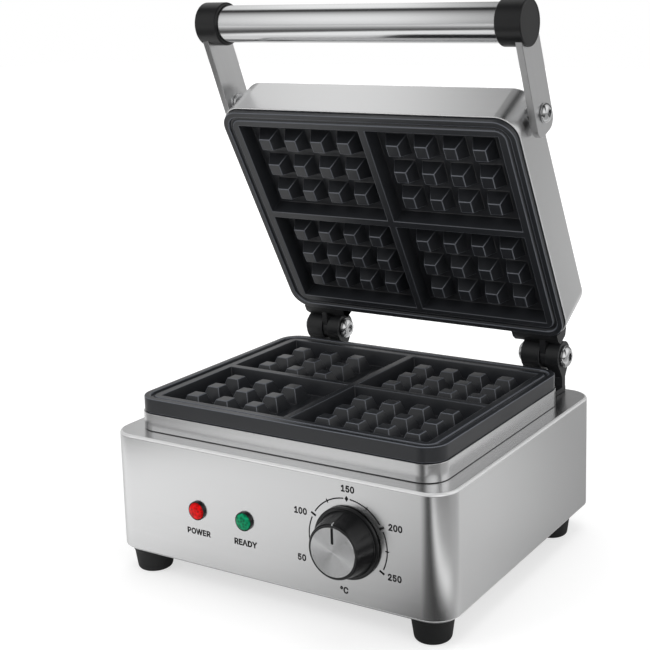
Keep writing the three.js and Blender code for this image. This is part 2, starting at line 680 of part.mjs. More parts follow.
function footScrew(at) {
  const seat = FOOT_RECESS_DEPTH - SEAT;
  const profile = [
    [0, seat - FOOT_SCREW_HEAD_HEIGHT],
    [FOOT_SCREW_HEAD, seat - FOOT_SCREW_HEAD_HEIGHT],
    [FOOT_SCREW_HEAD, seat],
    [FOOT_SCREW, seat],
    [FOOT_SCREW, CASE_BOTTOM + SHEET + FOOT_SCREW_REACH],
    [0, CASE_BOTTOM + SHEET + FOOT_SCREW_REACH],
  ];
  return turned(profile, Z_AXIS, at, SMALL_STEPS);
}

function plateCollar() {
  const width = PLATE_WIDTH + 2 * COLLAR_PROUD;
  const depth = PLATE_DEPTH + 2 * COLLAR_PROUD;
  const corner = PLATE_CORNER + COLLAR_PROUD;
  const from = CASE_TOP + SEAT;
  const outside = slab(width, depth, corner, from, COLLAR_TOP);
  const inside = slab(
    width - 2 * SHEET, depth - 2 * SHEET, corner - SHEET, from - OVERRUN, COLLAR_TOP + OVERRUN,
  );
  return cut(outside, inside).translate([0, PLATE_Y, 0]);
}

// Hinge bracket on the base: two barrels on one leg, with a slot between them for the lid's tongue
function hingeBracket(hingeX) {
  const left = hingeX - HINGE_LENGTH / 2;
  const drop = HINGE_Z - (CASE_TOP + SEAT);
  const half = LEG_THICK / 2;
  const tangent = Math.acos(BARREL_RADIUS / LEG_NECK);
  const start = -Math.PI / 2 + tangent;
  const profile = new THREE.Shape();
  profile.moveTo(BRACKET_FOOT_BACK, -drop);
  profile.lineTo(BRACKET_FOOT_BACK, -drop + BRACKET_FOOT_THICK);
  profile.lineTo(half, -drop + BRACKET_FOOT_THICK);
  profile.lineTo(half, -LEG_NECK);
  profile.absarc(0, 0, BARREL_RADIUS, start, Math.PI - start, false);
  profile.lineTo(-half, -LEG_NECK);
  profile.lineTo(-half, -drop + BRACKET_FOOT_THICK);
  profile.lineTo(-BRACKET_FOOT_FRONT, -drop + BRACKET_FOOT_THICK);
  profile.lineTo(-BRACKET_FOOT_FRONT, -drop);
  const geometry = new THREE.ExtrudeGeometry(profile, {
    depth: HINGE_LENGTH, bevelEnabled: false, curveSegments: CORNER_STEPS * 2,
  });
  const turn = new THREE.Matrix4().makeBasis(point(0, 1, 0), point(0, 0, 1), point(1, 0, 0));
  const body = solid(geometry.applyMatrix4(turn).translate(left, HINGE_Y, HINGE_Z));
  const slotHeight = BRACKET_SLOT_FLOOR + BARREL_RADIUS + OVERRUN;
  const slotX = left + BARREL_LEFT + BARREL_GAP / 2;
  const slot = block(BARREL_GAP, 4 * BARREL_RADIUS, slotHeight, slotX, HINGE_Y, HINGE_Z - BRACKET_SLOT_FLOOR);
  const axis = point(left, HINGE_Y, HINGE_Z);
  const bore = rod(PIN_RADIUS + FIT, -OVERRUN, HINGE_LENGTH + OVERRUN, X_AXIS, axis, SMALL_STEPS);
  const holes = hingeScrewPlaces(hingeX).map((place) => (
    rod(BRACKET_SCREW + FIT, -OVERRUN, 2 * OVERRUN, Z_AXIS, place, SMALL_STEPS)
  ));
  return cut(body, slot, bore, ...holes);
}

function bracketScrew(place) {
  const seat = SEAT + BRACKET_FOOT_THICK + SEAT;
  const profile = [
    [0, -BRACKET_SCREW_REACH],
    [BRACKET_SCREW, -BRACKET_SCREW_REACH],
    [BRACKET_SCREW, seat],
    [BRACKET_SCREW_HEAD, seat],
    [BRACKET_SCREW_HEAD, seat + BRACKET_SCREW_HEAD_HEIGHT / 2],
    [BRACKET_SCREW_HEAD / 2, seat + BRACKET_SCREW_HEAD_HEIGHT],
    [0, seat + BRACKET_SCREW_HEAD_HEIGHT],
  ];
  return turned(profile, Z_AXIS, place, SMALL_STEPS);
}

// Domed head profile: a short upright rim, then a round shoulder up to a flat crown
function buttonHead(radius, height, from) {
  return BUTTON_HEAD_SHARES.map(([across, along]) => [radius * across, from + height * along]);
}

function hingePin(hingeX) {
  const right = point(hingeX + HINGE_LENGTH / 2 + SEAT, HINGE_Y, HINGE_Z);
  const reach = HINGE_LENGTH + 2 * SEAT + PIN_END;
  const profile = [[0, -reach], [PIN_RADIUS, -reach], [PIN_RADIUS, 0]]
    .concat(buttonHead(PIN_HEAD, PIN_HEAD_HEIGHT, 0), [[0, PIN_HEAD_HEIGHT]]);
  const socketFloor = PIN_HEAD_HEIGHT - PIN_SOCKET_DEPTH;
  const socket = hexagon(PIN_SOCKET, socketFloor, PIN_HEAD_HEIGHT + OVERRUN, X_AXIS, right);
  return cut(turned(profile, X_AXIS, right, SMALL_STEPS), socket);
}

function hingeCapNut(hingeX) {
  const left = point(hingeX - HINGE_LENGTH / 2 - SEAT, HINGE_Y, HINGE_Z);
  const away = new THREE.Vector3(-1, 0, 0);
  const bore = PIN_RADIUS + FIT;
  const floor = PIN_END + SEAT;
  const profile = [[bore, 0]]
    .concat(buttonHead(PIN_NUT, PIN_NUT_HEIGHT, 0), [[0, PIN_NUT_HEIGHT], [0, floor], [bore, floor], [bore, 0]]);
  return turned(profile, away, left, SMALL_STEPS);
}

// Panel pieces
function knob() {
  const at = onPanel(KNOB_X, KNOB_Z);
  const skirtFront = KNOB_GAP + KNOB_SKIRT_THICK;
  const length = KNOB_GAP + KNOB_LENGTH;
  const profile = [
    [KNOB_RECESS, KNOB_GAP],
    [KNOB_SKIRT, KNOB_GAP],
    [KNOB_SKIRT, skirtFront - KNOB_SKIRT_EDGE],
    [KNOB_SKIRT - KNOB_SKIRT_EDGE, skirtFront],
    [KNOB_NECK, skirtFront],
    [KNOB_TOP, length],
    [KNOB_CAP + FIT, length],
    [KNOB_CAP + FIT, length - KNOB_CAP_SEAT],
    [0, length - KNOB_CAP_SEAT],
    [0, KNOB_GAP + SHAFT_DEPTH],
    [SHAFT_RADIUS + FIT / 2, KNOB_GAP + SHAFT_DEPTH],
    [SHAFT_RADIUS + FIT / 2, KNOB_GAP + KNOB_RECESS_DEPTH],
    [KNOB_RECESS, KNOB_GAP + KNOB_RECESS_DEPTH],
    [KNOB_RECESS, KNOB_GAP],
  ];
  return turned(profile, TO_FRONT, at);
}

function knobCap() {
  const base = KNOB_GAP + KNOB_LENGTH - KNOB_CAP_SEAT + SEAT;
  return rod(KNOB_CAP, base, base + KNOB_CAP_THICK, TO_FRONT, onPanel(KNOB_X, KNOB_Z));
}

function thermostatShaft() {
  const at = onPanel(KNOB_X, KNOB_Z);
  const inner = -SHEET - THERMOSTAT_DEPTH / 2;
  return rod(SHAFT_RADIUS, inner, KNOB_GAP + SHAFT_DEPTH - SEAT, TO_FRONT, at, SMALL_STEPS);
}

function thermostatBody() {
  const at = onPanel(KNOB_X, KNOB_Z);
  const face = -SHEET - SEAT;
  const caseY = FRONT + SHEET + SEAT + THERMOSTAT_DEPTH / 2;
  const box = block(
    THERMOSTAT_WIDTH, THERMOSTAT_DEPTH, THERMOSTAT_HEIGHT, KNOB_X, caseY, at.z - THERMOSTAT_HEIGHT / 2,
  );
  const bush = rod(BUSH_RADIUS, face - SHEET, BUSH_LENGTH, TO_FRONT, at, SMALL_STEPS);
  const boreFloor = face - THERMOSTAT_DEPTH / 2 - SEAT;
  const bore = rod(SHAFT_RADIUS + FIT, boreFloor, OVERRUN + BUSH_LENGTH, TO_FRONT, at, SMALL_STEPS);
  return cut(join(box, bush), bore);
}

function thermostatNut() {
  const at = onPanel(KNOB_X, KNOB_Z);
  const nut = hexagon(BUSH_NUT, SEAT, SEAT + BUSH_NUT_HEIGHT, TO_FRONT, at);
  return cut(nut, rod(BUSH_RADIUS + FIT, -OVERRUN, OVERRUN + BUSH_NUT_HEIGHT, TO_FRONT, at, SMALL_STEPS));
}

// Sensing bulb under the heater tray and the capillary that joins it to the thermostat
function capillaryAndBulb() {
  const trayBottom = LOWER_PLATE_BOTTOM - SEAT - TRAY_INSIDE - TRAY_SHEET;
  const bulbZ = trayBottom - SEAT - BULB_RADIUS;
  const bulbY = PLATE_Y - BULB_FRONT_OFFSET;
  const bulbEnd = KNOB_X - BULB_LENGTH / 2;
  const bulb = rod(BULB_RADIUS, 0, BULB_LENGTH, X_AXIS, point(bulbEnd, bulbY, bulbZ), SMALL_STEPS);
  const bodyBack = FRONT + SHEET + SEAT + THERMOSTAT_DEPTH;
  const bodyTop = CASE_BOTTOM + KNOB_Z + THERMOSTAT_HEIGHT / 2;
  const slack = THERMOSTAT_DEPTH;
  const first = point(KNOB_X, bodyBack + SEAT, bodyTop - THERMOSTAT_HEIGHT / 3);
  const path = new THREE.CatmullRomCurve3([
    first,
    point(first.x, first.y + slack / 2, first.z),
    point(first.x + slack / 2, first.y + slack, first.z + BULB_RADIUS),
    point(bulbEnd + BULB_LENGTH + slack, bulbY - slack / 3, bulbZ - BULB_RADIUS),
    point(bulbEnd + BULB_LENGTH + slack / 2, bulbY, bulbZ),
    point(bulbEnd + BULB_LENGTH - BULB_RADIUS, bulbY, bulbZ),
  ]);
  return join(bulb, tubeAlong(path, CAPILLARY_RADIUS, CAPILLARY_SIDES / 2, CAPILLARY_STEPS));
}

function lampBezel(lamp) {
  const profile = [
    [BEZEL_BORE, SEAT],
    [BEZEL_RADIUS, SEAT],
    [BEZEL_RADIUS, BEZEL_THICK - BEZEL_EDGE],
    [BEZEL_RADIUS - BEZEL_EDGE, BEZEL_THICK],
    [BEZEL_BORE, BEZEL_THICK],
    [BEZEL_BORE, SEAT],
  ];
  return turned(profile, TO_FRONT, onPanel(lamp.x, LAMP_Z), ROUND_STEPS);
}

function lampLens(lamp) {
  const shoulder = LENS_RISE - LENS_DOME;
  const profile = [
    [0, -LAMP_BODY_LENGTH / 4],
    [LAMP_STEM, -LAMP_BODY_LENGTH / 4],
    [LAMP_STEM, SEAT],
    [LENS_RADIUS, SEAT],
    [LENS_RADIUS, shoulder],
    [LENS_RADIUS * Math.cos(Math.PI / 6), shoulder + LENS_DOME * Math.sin(Math.PI / 6)],
    [LENS_RADIUS * Math.cos(Math.PI / 3), shoulder + LENS_DOME * Math.sin(Math.PI / 3)],
    [0, LENS_RISE],
  ];
  return turned(profile, TO_FRONT, onPanel(lamp.x, LAMP_Z), ROUND_STEPS);
}

function lampBody(lamp) {
  const bore = LAMP_BODY_RADIUS - LAMP_BODY_WALL;
  const profile = [
    [bore, 0],
    [LAMP_BODY_RADIUS, 0],
    [LAMP_BODY_RADIUS, -LAMP_BODY_LENGTH],
    [0, -LAMP_BODY_LENGTH],
    [0, -LAMP_BODY_LENGTH / 2],
    [bore, -LAMP_BODY_LENGTH / 2],
    [bore, 0],
  ];
  return turned(profile.reverse(), TO_FRONT, onPanel(lamp.x, LAMP_Z), SMALL_STEPS);
}

function terminalBlock() {
  const y = BACK - TERMINAL_FROM_BACK;
  const body = block(TERMINAL_WIDTH, TERMINAL_DEPTH, TERMINAL_HEIGHT, TERMINAL_X, y, COVER_TOP + SEAT);
  const ways = [];
  for (let way = 0; way < TERMINAL_WAYS; way += 1) {
    const x = TERMINAL_X + (way - (TERMINAL_WAYS - 1) / 2) * TERMINAL_PITCH;
    const at = point(x, y, COVER_TOP + SEAT + TERMINAL_HEIGHT / 2);
    const half = TERMINAL_DEPTH / 2 + OVERRUN;
    ways.push(rod(TERMINAL_WAY, -half, half, TO_BACK, at, SMALL_STEPS));
  }
  return cut(body, ...ways);
}

function cableGland() {
  const at = point(GLAND_X, BACK, CASE_BOTTOM + GLAND_Z);
  const stem = rod(GLAND_THREAD, -SHEET - GLAND_INSIDE, SEAT + GLAND_HEX_HEIGHT, TO_BACK, at, SMALL_STEPS);
  const hex = hexagon(GLAND_HEX, SEAT, SEAT + GLAND_HEX_HEIGHT, TO_BACK, at);
  const shoulder = SEAT + GLAND_HEX_HEIGHT;
  const dome = turned([
    [0, shoulder],
    [GLAND_DOME, shoulder],
    [GLAND_DOME, GLAND_LENGTH - GLAND_CROWN],
    [GLAND_BORE + SHEET, GLAND_LENGTH],
    [0, GLAND_LENGTH],
  ], TO_BACK, at, SMALL_STEPS);
  const half = GLAND_LENGTH + OVERRUN;
  return cut(join(stem, hex, dome), rod(GLAND_BORE, -half, half, TO_BACK, at, SMALL_STEPS));
}

function glandNut() {
  const at = point(GLAND_X, BACK - SHEET - SEAT, CASE_BOTTOM + GLAND_Z);
  const nut = hexagon(GLAND_HEX, -GLAND_NUT_HEIGHT, 0, TO_BACK, at);
  return cut(nut, rod(GLAND_THREAD + FIT, -OVERRUN - GLAND_NUT_HEIGHT, OVERRUN, TO_BACK, at, SMALL_STEPS));
}

// Rubber grommet in a sheet whose outer face is at the given point
function grommet(axis, at) {
  const inner = -SHEET - SEAT;
  const profile = [
    [GROMMET_BORE, inner - GROMMET_LIP],
    [GROMMET_FLANGE - GROMMET_LIP / 2, inner - GROMMET_LIP],
    [GROMMET_FLANGE, inner],
    [GROMMET_NECK, inner],
    [GROMMET_NECK, SEAT],
    [GROMMET_FLANGE, SEAT],
    [GROMMET_FLANGE - GROMMET_LIP / 2, SEAT + GROMMET_LIP],
    [GROMMET_BORE, SEAT + GROMMET_LIP],
    [GROMMET_BORE, inner - GROMMET_LIP],
  ];
  return turned(profile, axis, at, SMALL_STEPS);
}

// Lid pieces are drawn shut, with the hinge axis at the origin of the lid's group
const LID_RIM = LOWER_RIM + PLATE_GAP - HINGE_Z; // rim of the upper plate
const LID_PLATE_Y = PLATE_Y - HINGE_Y;
const LID_BACK_WALL = LID_PLATE_Y + PLATE_DEPTH / 2 + LID_PROUD;
const LID_HALF_WIDTH = PLATE_WIDTH / 2 + LID_PROUD;
const PIVOT_Y = LID_PLATE_Y - PLATE_DEPTH / 2 + PIVOT_FROM_FREE_EDGE;
const PIVOT_Z = LID_RIM + PIVOT_ABOVE_RIM;
const ARM_INNER = LID_HALF_WIDTH + ARM_GAP;
const ARM_OUTER = ARM_INNER + ARM_THICK;

// Turns a piece made for the lower plate over, so that it lies above the upper plate's rim
function overLid(piece) {
  return piece.rotate([180, 0, 0]).translate([0, LID_PLATE_Y, LID_RIM]);
}

function lidCasing() {
  const width = 2 * LID_HALF_WIDTH;
  const depth = PLATE_DEPTH + 2 * LID_PROUD;
  const body = pan(
    width, depth, PLATE_CORNER + LID_PROUD, LID_BEND, LID_PROUD - SEAT,
    LID_RIM + LID_LIP, LID_RIM + LID_DEPTH,
  ).translate([0, LID_PLATE_Y, 0]);
  const fittings = [];
  const holes = [];
  for (const side of [-1, 1]) {
    const axis = new THREE.Vector3(side, 0, 0);
    const wall = point(side * LID_HALF_WIDTH, PIVOT_Y, PIVOT_Z);
    fittings.push(rod(PIVOT_NUT_RADIUS, -PIVOT_NUT_HEIGHT, -(LID_PROUD - SEAT) / 2, axis, wall, SMALL_STEPS));
    holes.push(rod(PIVOT_RADIUS + FIT, -PIVOT_NUT_HEIGHT - OVERRUN, OVERRUN, axis, wall, SMALL_STEPS));
  }
  const lead = point(0, LID_BACK_WALL, LID_RIM + GROMMET_ABOVE_RIM);
  holes.push(rod(GROMMET_NECK + FIT, -OVERRUN, OVERRUN, TO_BACK, lead, SMALL_STEPS));
  return cut(join(body, ...fittings), ...holes);
}

// Lug on the lid: a block behind the upper plate with a tongue between the bracket's barrels
function hingeLug(hinge) {
  const left = hinge.x - HINGE_LENGTH / 2;
  const lipTop = LID_RIM + LID_LIP - SEAT;
  const plateSide = LID_PLATE_Y + PLATE_DEPTH / 2 + SEAT;
  const wall = LID_BACK_WALL + SEAT;
  const bottom = LID_RIM + FLANGE_EDGE;
  const top = LID_RIM + LUG_HEIGHT;
  const profile = outline([
    [plateSide, bottom],
    [-LUG_TO_AXIS - LUG_CHAMFER, bottom],
    [-LUG_TO_AXIS, bottom + LUG_CHAMFER / 2],
    [-LUG_TO_AXIS, top - LUG_CHAMFER],
    [-LUG_TO_AXIS - LUG_CHAMFER, top],
    [wall, top],
    [wall, lipTop],
    [plateSide, lipTop],
  ]);
  const body = acrossX(profile, left - LUG_FLARE, left + HINGE_LENGTH + LUG_FLARE);
  const trims = [-1, 1].map((side) => lugTrim(hinge, side, bottom, top));
  const tongueFrom = left + BARREL_LEFT + TONGUE_CLEARANCE;
  const tongueTo = left + BARREL_LEFT + BARREL_GAP - TONGUE_CLEARANCE;
  const ring = rod(TONGUE_RADIUS, tongueFrom, tongueTo, X_AXIS, point(0, 0, 0));
  const web = acrossX(outline([
    [-LUG_TO_AXIS - LUG_CHAMFER, bottom],
    [0, -TONGUE_RADIUS],
    [0, TONGUE_RADIUS],
    [-LUG_TO_AXIS - LUG_CHAMFER, TONGUE_RADIUS],
  ]), tongueFrom, tongueTo);
  const boreEnds = [tongueFrom - OVERRUN, tongueTo + OVERRUN];
  const bore = rod(PIN_RADIUS + FIT, ...boreEnds, X_AXIS, point(0, 0, 0), SMALL_STEPS);
  return cut(join(cut(body, ...trims), ring, web), bore);
}

// Wedge that slants one end of a lug: steeply on the inner side, squarely on the outer side
function lugTrim(hinge, side, bottom, top) {
  const end = hinge.x + side * HINGE_LENGTH / 2;
  const flare = side === hinge.inner ? LUG_FLARE : 0;
  const far = end + side * (LUG_FLARE + OVERRUN);
  const shape = outline([
    [end + side * flare, LID_BACK_WALL - OVERRUN],
    [end + side * flare, LID_BACK_WALL],
    [end, -LUG_TO_AXIS],
    [end, OVERRUN],
    [far, OVERRUN],
    [far, LID_BACK_WALL - OVERRUN],
  ]);
  const geometry = extruded(shape, top - bottom + 2 * OVERRUN).translate(0, 0, bottom - OVERRUN);
  return solid(geometry);
}

// Handle pieces are drawn with the arms along -Y from the pivot, which is the origin of their group
function handleArm(side) {
  const shape = new THREE.Shape();
  const half = ARM_WIDTH / 2;
  const low = ARM_END - ARM_END_RADIUS;
  shape.moveTo(-ARM_LENGTH - ARM_ABOVE_TUBE, -half);
  shape.lineTo(low, -half);
  shape.absarc(low, -half + ARM_END_RADIUS, ARM_END_RADIUS, -Math.PI / 2, 0, false);
  shape.absarc(low, half - ARM_END_RADIUS, ARM_END_RADIUS, 0, Math.PI / 2, false);
  shape.lineTo(-ARM_LENGTH - ARM_ABOVE_TUBE, half);
  const from = side > 0 ? ARM_INNER : -ARM_OUTER;
  const bar = acrossX(shape, from, from + ARM_THICK);
  const axis = point(from - OVERRUN, 0, 0);
  return cut(bar, rod(ARM_HOLE, 0, ARM_THICK + 2 * OVERRUN, X_AXIS, axis, SMALL_STEPS));
}

function handleTube() {
  const end = ARM_INNER - SEAT - CAP_WEB - SEAT;
  const axis = point(0, -ARM_LENGTH, 0);
  const inner = TUBE_RADIUS - TUBE_WALL;
  const profile = [[inner, -end], [TUBE_RADIUS, -end], [TUBE_RADIUS, end], [inner, end], [inner, -end]];
  return turned(profile, X_AXIS, axis);
}

function handleCap(side) {
  const axis = new THREE.Vector3(side, 0, 0);
  const outerFace = ARM_OUTER + SEAT + CAP_END_WALL;
  const innerFace = outerFace - CAP_LENGTH;
  const pocket = ARM_INNER - SEAT - CAP_WEB;
  const at = point(0, -ARM_LENGTH, 0);
  const body = turned([
    [0, innerFace],
    [CAP_RADIUS - CAP_EDGE, innerFace],
    [CAP_RADIUS, innerFace + CAP_EDGE],
    [CAP_RADIUS, outerFace - CAP_EDGE],
    [CAP_RADIUS - CAP_EDGE, outerFace],
    [0, outerFace],
  ], axis, at);
  const bore = rod(TUBE_RADIUS + SEAT, innerFace - OVERRUN, pocket, axis, at);
  const slotThick = ARM_THICK + 2 * SEAT;
  const slotX = side * (ARM_INNER + ARM_OUTER) / 2;
  const slotLength = CAP_RADIUS + OVERRUN + ARM_ABOVE_TUBE + SEAT;
  const slotY = -ARM_LENGTH - ARM_ABOVE_TUBE - SEAT + slotLength / 2;
  const slotHeight = ARM_WIDTH + 2 * SEAT;
  const slot = block(slotThick, slotLength, slotHeight, slotX, slotY, -slotHeight / 2);
  return cut(body, bore, slot);
}

// Screw that carries one arm; it and its washer stay with the lid
function pivotScrew(side) {
  const axis = new THREE.Vector3(side, 0, 0);
  const at = point(0, PIVOT_Y, PIVOT_Z);
  const headSeat = ARM_OUTER + SEAT;
  const profile = [
    [0, LID_HALF_WIDTH - PIVOT_NUT_HEIGHT],
    [PIVOT_RADIUS, LID_HALF_WIDTH - PIVOT_NUT_HEIGHT],
    [PIVOT_RADIUS, LID_HALF_WIDTH + SEAT],
    [WASHER_RADIUS, LID_HALF_WIDTH + SEAT],
    [WASHER_RADIUS, ARM_INNER - SEAT],
    [PIVOT_RADIUS, ARM_INNER - SEAT],
    [PIVOT_RADIUS, headSeat],
  ].concat(buttonHead(PIVOT_HEAD, PIVOT_HEAD_HEIGHT, headSeat), [[0, headSeat + PIVOT_HEAD_HEIGHT]]);
  const crown = headSeat + PIVOT_HEAD_HEIGHT;
  const socket = hexagon(PIVOT_SOCKET, crown - PIVOT_SOCKET_DEPTH, crown + OVERRUN, axis, at);
  return cut(turned(profile, axis, at, SMALL_STEPS), socket);
}

// Assembly
const machine = new THREE.Group();
const base = new THREE.Group();
const lid = new THREE.Group();
const handle = new THREE.Group();
lid.position.set(0, HINGE_Y, HINGE_Z);
lid.rotation.x = THREE.MathUtils.degToRad(-REST_OPEN);
handle.position.set(0, PIVOT_Y, PIVOT_Z);
handle.rotation.x = THREE.MathUtils.degToRad(-ARM_TILT);
lid.add(handle);
machine.add(base, lid);

base.add(meshOf('base_casing', baseCasing(), steel));
base.add(meshOf('bottom_cover', bottomCover(), bareSheet));
base.add(meshOf('plate_collar', plateCollar(), steel));
for (const [place, at] of Object.entries(footPlaces())) {
  base.add(meshOf(`foot_${place}`, foot(at), rubber));
  base.add(meshOf(`foot_screw_${place}`, footScrew(at), chrome));
}

const lowerPlate = cookingPlate(SPARSE_FEWER, SPARSE_PITCH).translate([0, PLATE_Y, LOWER_RIM]);
const underPlate = [0, PLATE_Y, LOWER_PLATE_BOTTOM];
base.add(meshOf('lower_plate', lowerPlate, castBlack));
base.add(meshOf('lower_heating_element', heater().translate(underPlate), sheath));
base.add(meshOf('lower_heater_tray', heaterTray().translate(underPlate), bareSheet));
for (const [name, side] of [['left', -1], ['right', 1]]) {
  const screw = plateScrew(side * PLATE_SCREW_OFFSET);
  base.add(meshOf(`lower_plate_screw_${name}`, screw.translate(underPlate), chrome));
}

for (const hinge of HINGES) {
  base.add(meshOf(`hinge_bracket_${hinge.name}`, hingeBracket(hinge.x), castBlack));
  base.add(meshOf(`hinge_pin_${hinge.name}`, hingePin(hinge.x), chrome));
  base.add(meshOf(`hinge_cap_nut_${hinge.name}`, hingeCapNut(hinge.x), chrome));
  hingeScrewPlaces(hinge.x).forEach((place, index) => {
    const end = index === 0 ? 'a' : 'b';
    base.add(meshOf(`bracket_screw_${hinge.name}_${end}`, bracketScrew(place), chrome));
  });
}

base.add(meshOf('thermostat_body', thermostatBody(), ceramic));
base.add(meshOf('thermostat_nut', thermostatNut(), chrome));
base.add(meshOf('thermostat_shaft', thermostatShaft(), bareSheet));
base.add(meshOf('thermostat_bulb', capillaryAndBulb(), copper));
base.add(meshOf('knob', knob(), blackPlastic));
base.add(meshOf('knob_cap', knobCap(), aluminium));
for (const lamp of LAMPS) {
  base.add(meshOf(`lamp_bezel_${lamp.name}`, lampBezel(lamp), blackPlastic));
  base.add(meshOf(`lamp_lens_${lamp.name}`, lampLens(lamp), lamp.lens));
  base.add(meshOf(`lamp_body_${lamp.name}`, lampBody(lamp), ceramic));
}
base.add(meshOf('terminal_block', terminalBlock(), ceramic));
base.add(meshOf('cable_gland', cableGland(), blackPlastic));
base.add(meshOf('cable_gland_nut', glandNut(), blackPlastic));
const baseLead = point(0, BACK - GROMMET_FROM_BACK, CASE_TOP);
base.add(meshOf('lead_grommet_base', grommet(Z_AXIS, baseLead), rubber));

const lidUnderside = (piece) => overLid(piece.translate([0, 0, -PLATE_THICK]));
lid.add(meshOf('lid_casing', lidCasing(), steel));
lid.add(meshOf('upper_plate', overLid(cookingPlate(0, PEG_PITCH)), castBlack));
lid.add(meshOf('upper_heating_element', lidUnderside(heater()), sheath));
lid.add(meshOf('upper_heater_tray', lidUnderside(heaterTray()), bareSheet));
for (const [name, side] of [['left', -1], ['right', 1]]) {
  lid.add(meshOf(`upper_plate_screw_${name}`, lidUnderside(plateScrew(side * PLATE_SCREW_OFFSET)), chrome));
  lid.add(meshOf(`handle_pivot_screw_${name}`, pivotScrew(side), chrome));
  handle.add(meshOf(`handle_arm_${name}`, handleArm(side), steel));
  handle.add(meshOf(`handle_cap_${name}`, handleCap(side), blackPlastic));
}
for (const hinge of HINGES) {
  lid.add(meshOf(`hinge_lug_${hinge.name}`, hingeLug(hinge), castBlack));
}
const lidLead = point(0, LID_BACK_WALL, LID_RIM + GROMMET_ABOVE_RIM);
lid.add(meshOf('lead_grommet_lid', grommet(TO_BACK, lidLead), rubber));
handle.add(meshOf('handle_tube', handleTube(), steel));

// The whole is moved so that its box stands centred on the origin
machine.updateMatrixWorld(true);
const middle = new THREE.Box3().setFromObject(machine, true).getCenter(new THREE.Vector3());
machine.position.set(-middle.x, -middle.y, 0);

export default machine;
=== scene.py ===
import json
import math
import os

import bpy
from bpy.props import FloatProperty, FloatVectorProperty, IntProperty, PointerProperty
from mathutils import Matrix, Vector


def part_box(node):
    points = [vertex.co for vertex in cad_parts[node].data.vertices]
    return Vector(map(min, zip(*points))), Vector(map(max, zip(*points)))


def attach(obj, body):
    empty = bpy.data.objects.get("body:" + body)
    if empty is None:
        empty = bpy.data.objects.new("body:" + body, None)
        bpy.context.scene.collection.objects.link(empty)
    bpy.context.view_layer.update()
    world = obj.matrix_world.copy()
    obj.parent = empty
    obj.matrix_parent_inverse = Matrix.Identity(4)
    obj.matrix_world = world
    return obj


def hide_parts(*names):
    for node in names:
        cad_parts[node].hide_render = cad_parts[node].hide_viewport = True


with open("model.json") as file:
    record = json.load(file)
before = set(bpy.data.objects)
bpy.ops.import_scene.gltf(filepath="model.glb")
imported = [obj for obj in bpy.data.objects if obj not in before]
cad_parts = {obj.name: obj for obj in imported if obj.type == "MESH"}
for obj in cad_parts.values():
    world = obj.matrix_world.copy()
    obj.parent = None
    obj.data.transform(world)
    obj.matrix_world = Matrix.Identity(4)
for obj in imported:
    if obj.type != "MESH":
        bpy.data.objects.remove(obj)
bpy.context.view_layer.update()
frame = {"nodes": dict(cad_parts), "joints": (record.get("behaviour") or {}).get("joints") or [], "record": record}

bl_info = {
    "name": "Waffle Maker Looks",
    "version": (1, 0, 0),
    "blender": (4, 5, 0),
    "location": "3D View > Sidebar > Waffle Maker",
    "description": "Detailed pieces, finishes and stage of a commercial waffle maker",
    "category": "Object",
}

# Lengths are metres. +X is right seen from the front, the control panel faces -Y, +Z is up.
PRINT_FONT = os.path.join(bpy.utils.system_resource("DATAFILES"), "fonts", "Inter.woff2")
NEAR = 1e-4  # places closer than this count as one
OVERRUN = 0.005  # how far a cutting tool reaches past what it cuts
FACING_SHARE = 0.9  # least share of a face's normal along the axis that it looks along
SMOOTH_BELOW = math.radians(50)
BEVEL_ABOVE = math.radians(28)
TURN_STEPS = 72
CORNER_STEPS = 14
DOME_STEPS = 8
RIM_STEPS = 6
FOLD_STEPS = 5
EDGE_STEPS = 4
HEX = 6
SHEEN_RIDGES = "sheen_ridges"  # attribute that is one on the rounded ridges, where the finishes paint highlights or dull the steel
LEAN_SHARE = 0.1  # least share of an edge along a point's normal that counts as leaning

# Frames of the groups that the joints carry
JOINTS = {joint["name"]: joint for joint in frame["joints"]}
LID_AXIS = Vector(JOINTS["lid_hinge"]["pos_m"])
LID_TURN = math.radians(JOINTS["lid_hinge"]["range_deg"][0])
LID = Matrix.Translation(LID_AXIS) @ Matrix.Rotation(LID_TURN, 4, "X")
PIVOT = Vector(JOINTS["handle_pivot"]["pos_m"])
GRIP_AWAY = sum(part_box("handle_tube"), Vector()) / 2 - PIVOT
HANDLE_TURN = math.atan2(-GRIP_AWAY.z, -GRIP_AWAY.y)
HANDLE = Matrix.Translation(PIVOT) @ Matrix.Rotation(HANDLE_TURN, 4, "X")
HERE = Matrix.Identity(4)

# Directions, and turns that lay a piece drawn along +Z in another one
RIGHT = Vector((1, 0, 0))
BACK = Vector((0, 1, 0))
TO_FRONT = Matrix.Rotation(math.radians(90), 4, "X")
TO_BACK = Matrix.Rotation(math.radians(-90), 4, "X")
TO_RIGHT = Matrix.Rotation(math.radians(90), 4, "Y")
TO_LEFT = Matrix.Rotation(math.radians(-90), 4, "Y")
OVER = Matrix.Rotation(math.radians(180), 4, "X")
# Lays an outline drawn in x and y into the plane across X, so that its depth runs along X
ACROSS = Matrix(((0, 0, 1, 0), (1, 0, 0, 0), (0, 1, 0, 0), (0, 0, 0, 1)))


def length(name, description, default):
    """A size in metres that the sidebar shows."""
    return FloatProperty(
        name=name, description=description, default=default, min=0, unit="LENGTH", precision=5
    )


def angle(name, description, degrees):
    """An angle that the sidebar shows in degrees."""
    return FloatProperty(
        name=name, description=description, default=math.radians(degrees), subtype="ANGLE"
    )


def tint(name, description, default):
    """A colour of a finish."""
    return FloatVectorProperty(
        name=name, description=description, default=default, min=0, max=1, subtype="COLOR"
    )


def share(name, description, default):
    """A plain number from 0 to 1, such as a roughness."""
    return FloatProperty(
        name=name, description=description, default=default, min=0, max=1, subtype="FACTOR"
    )


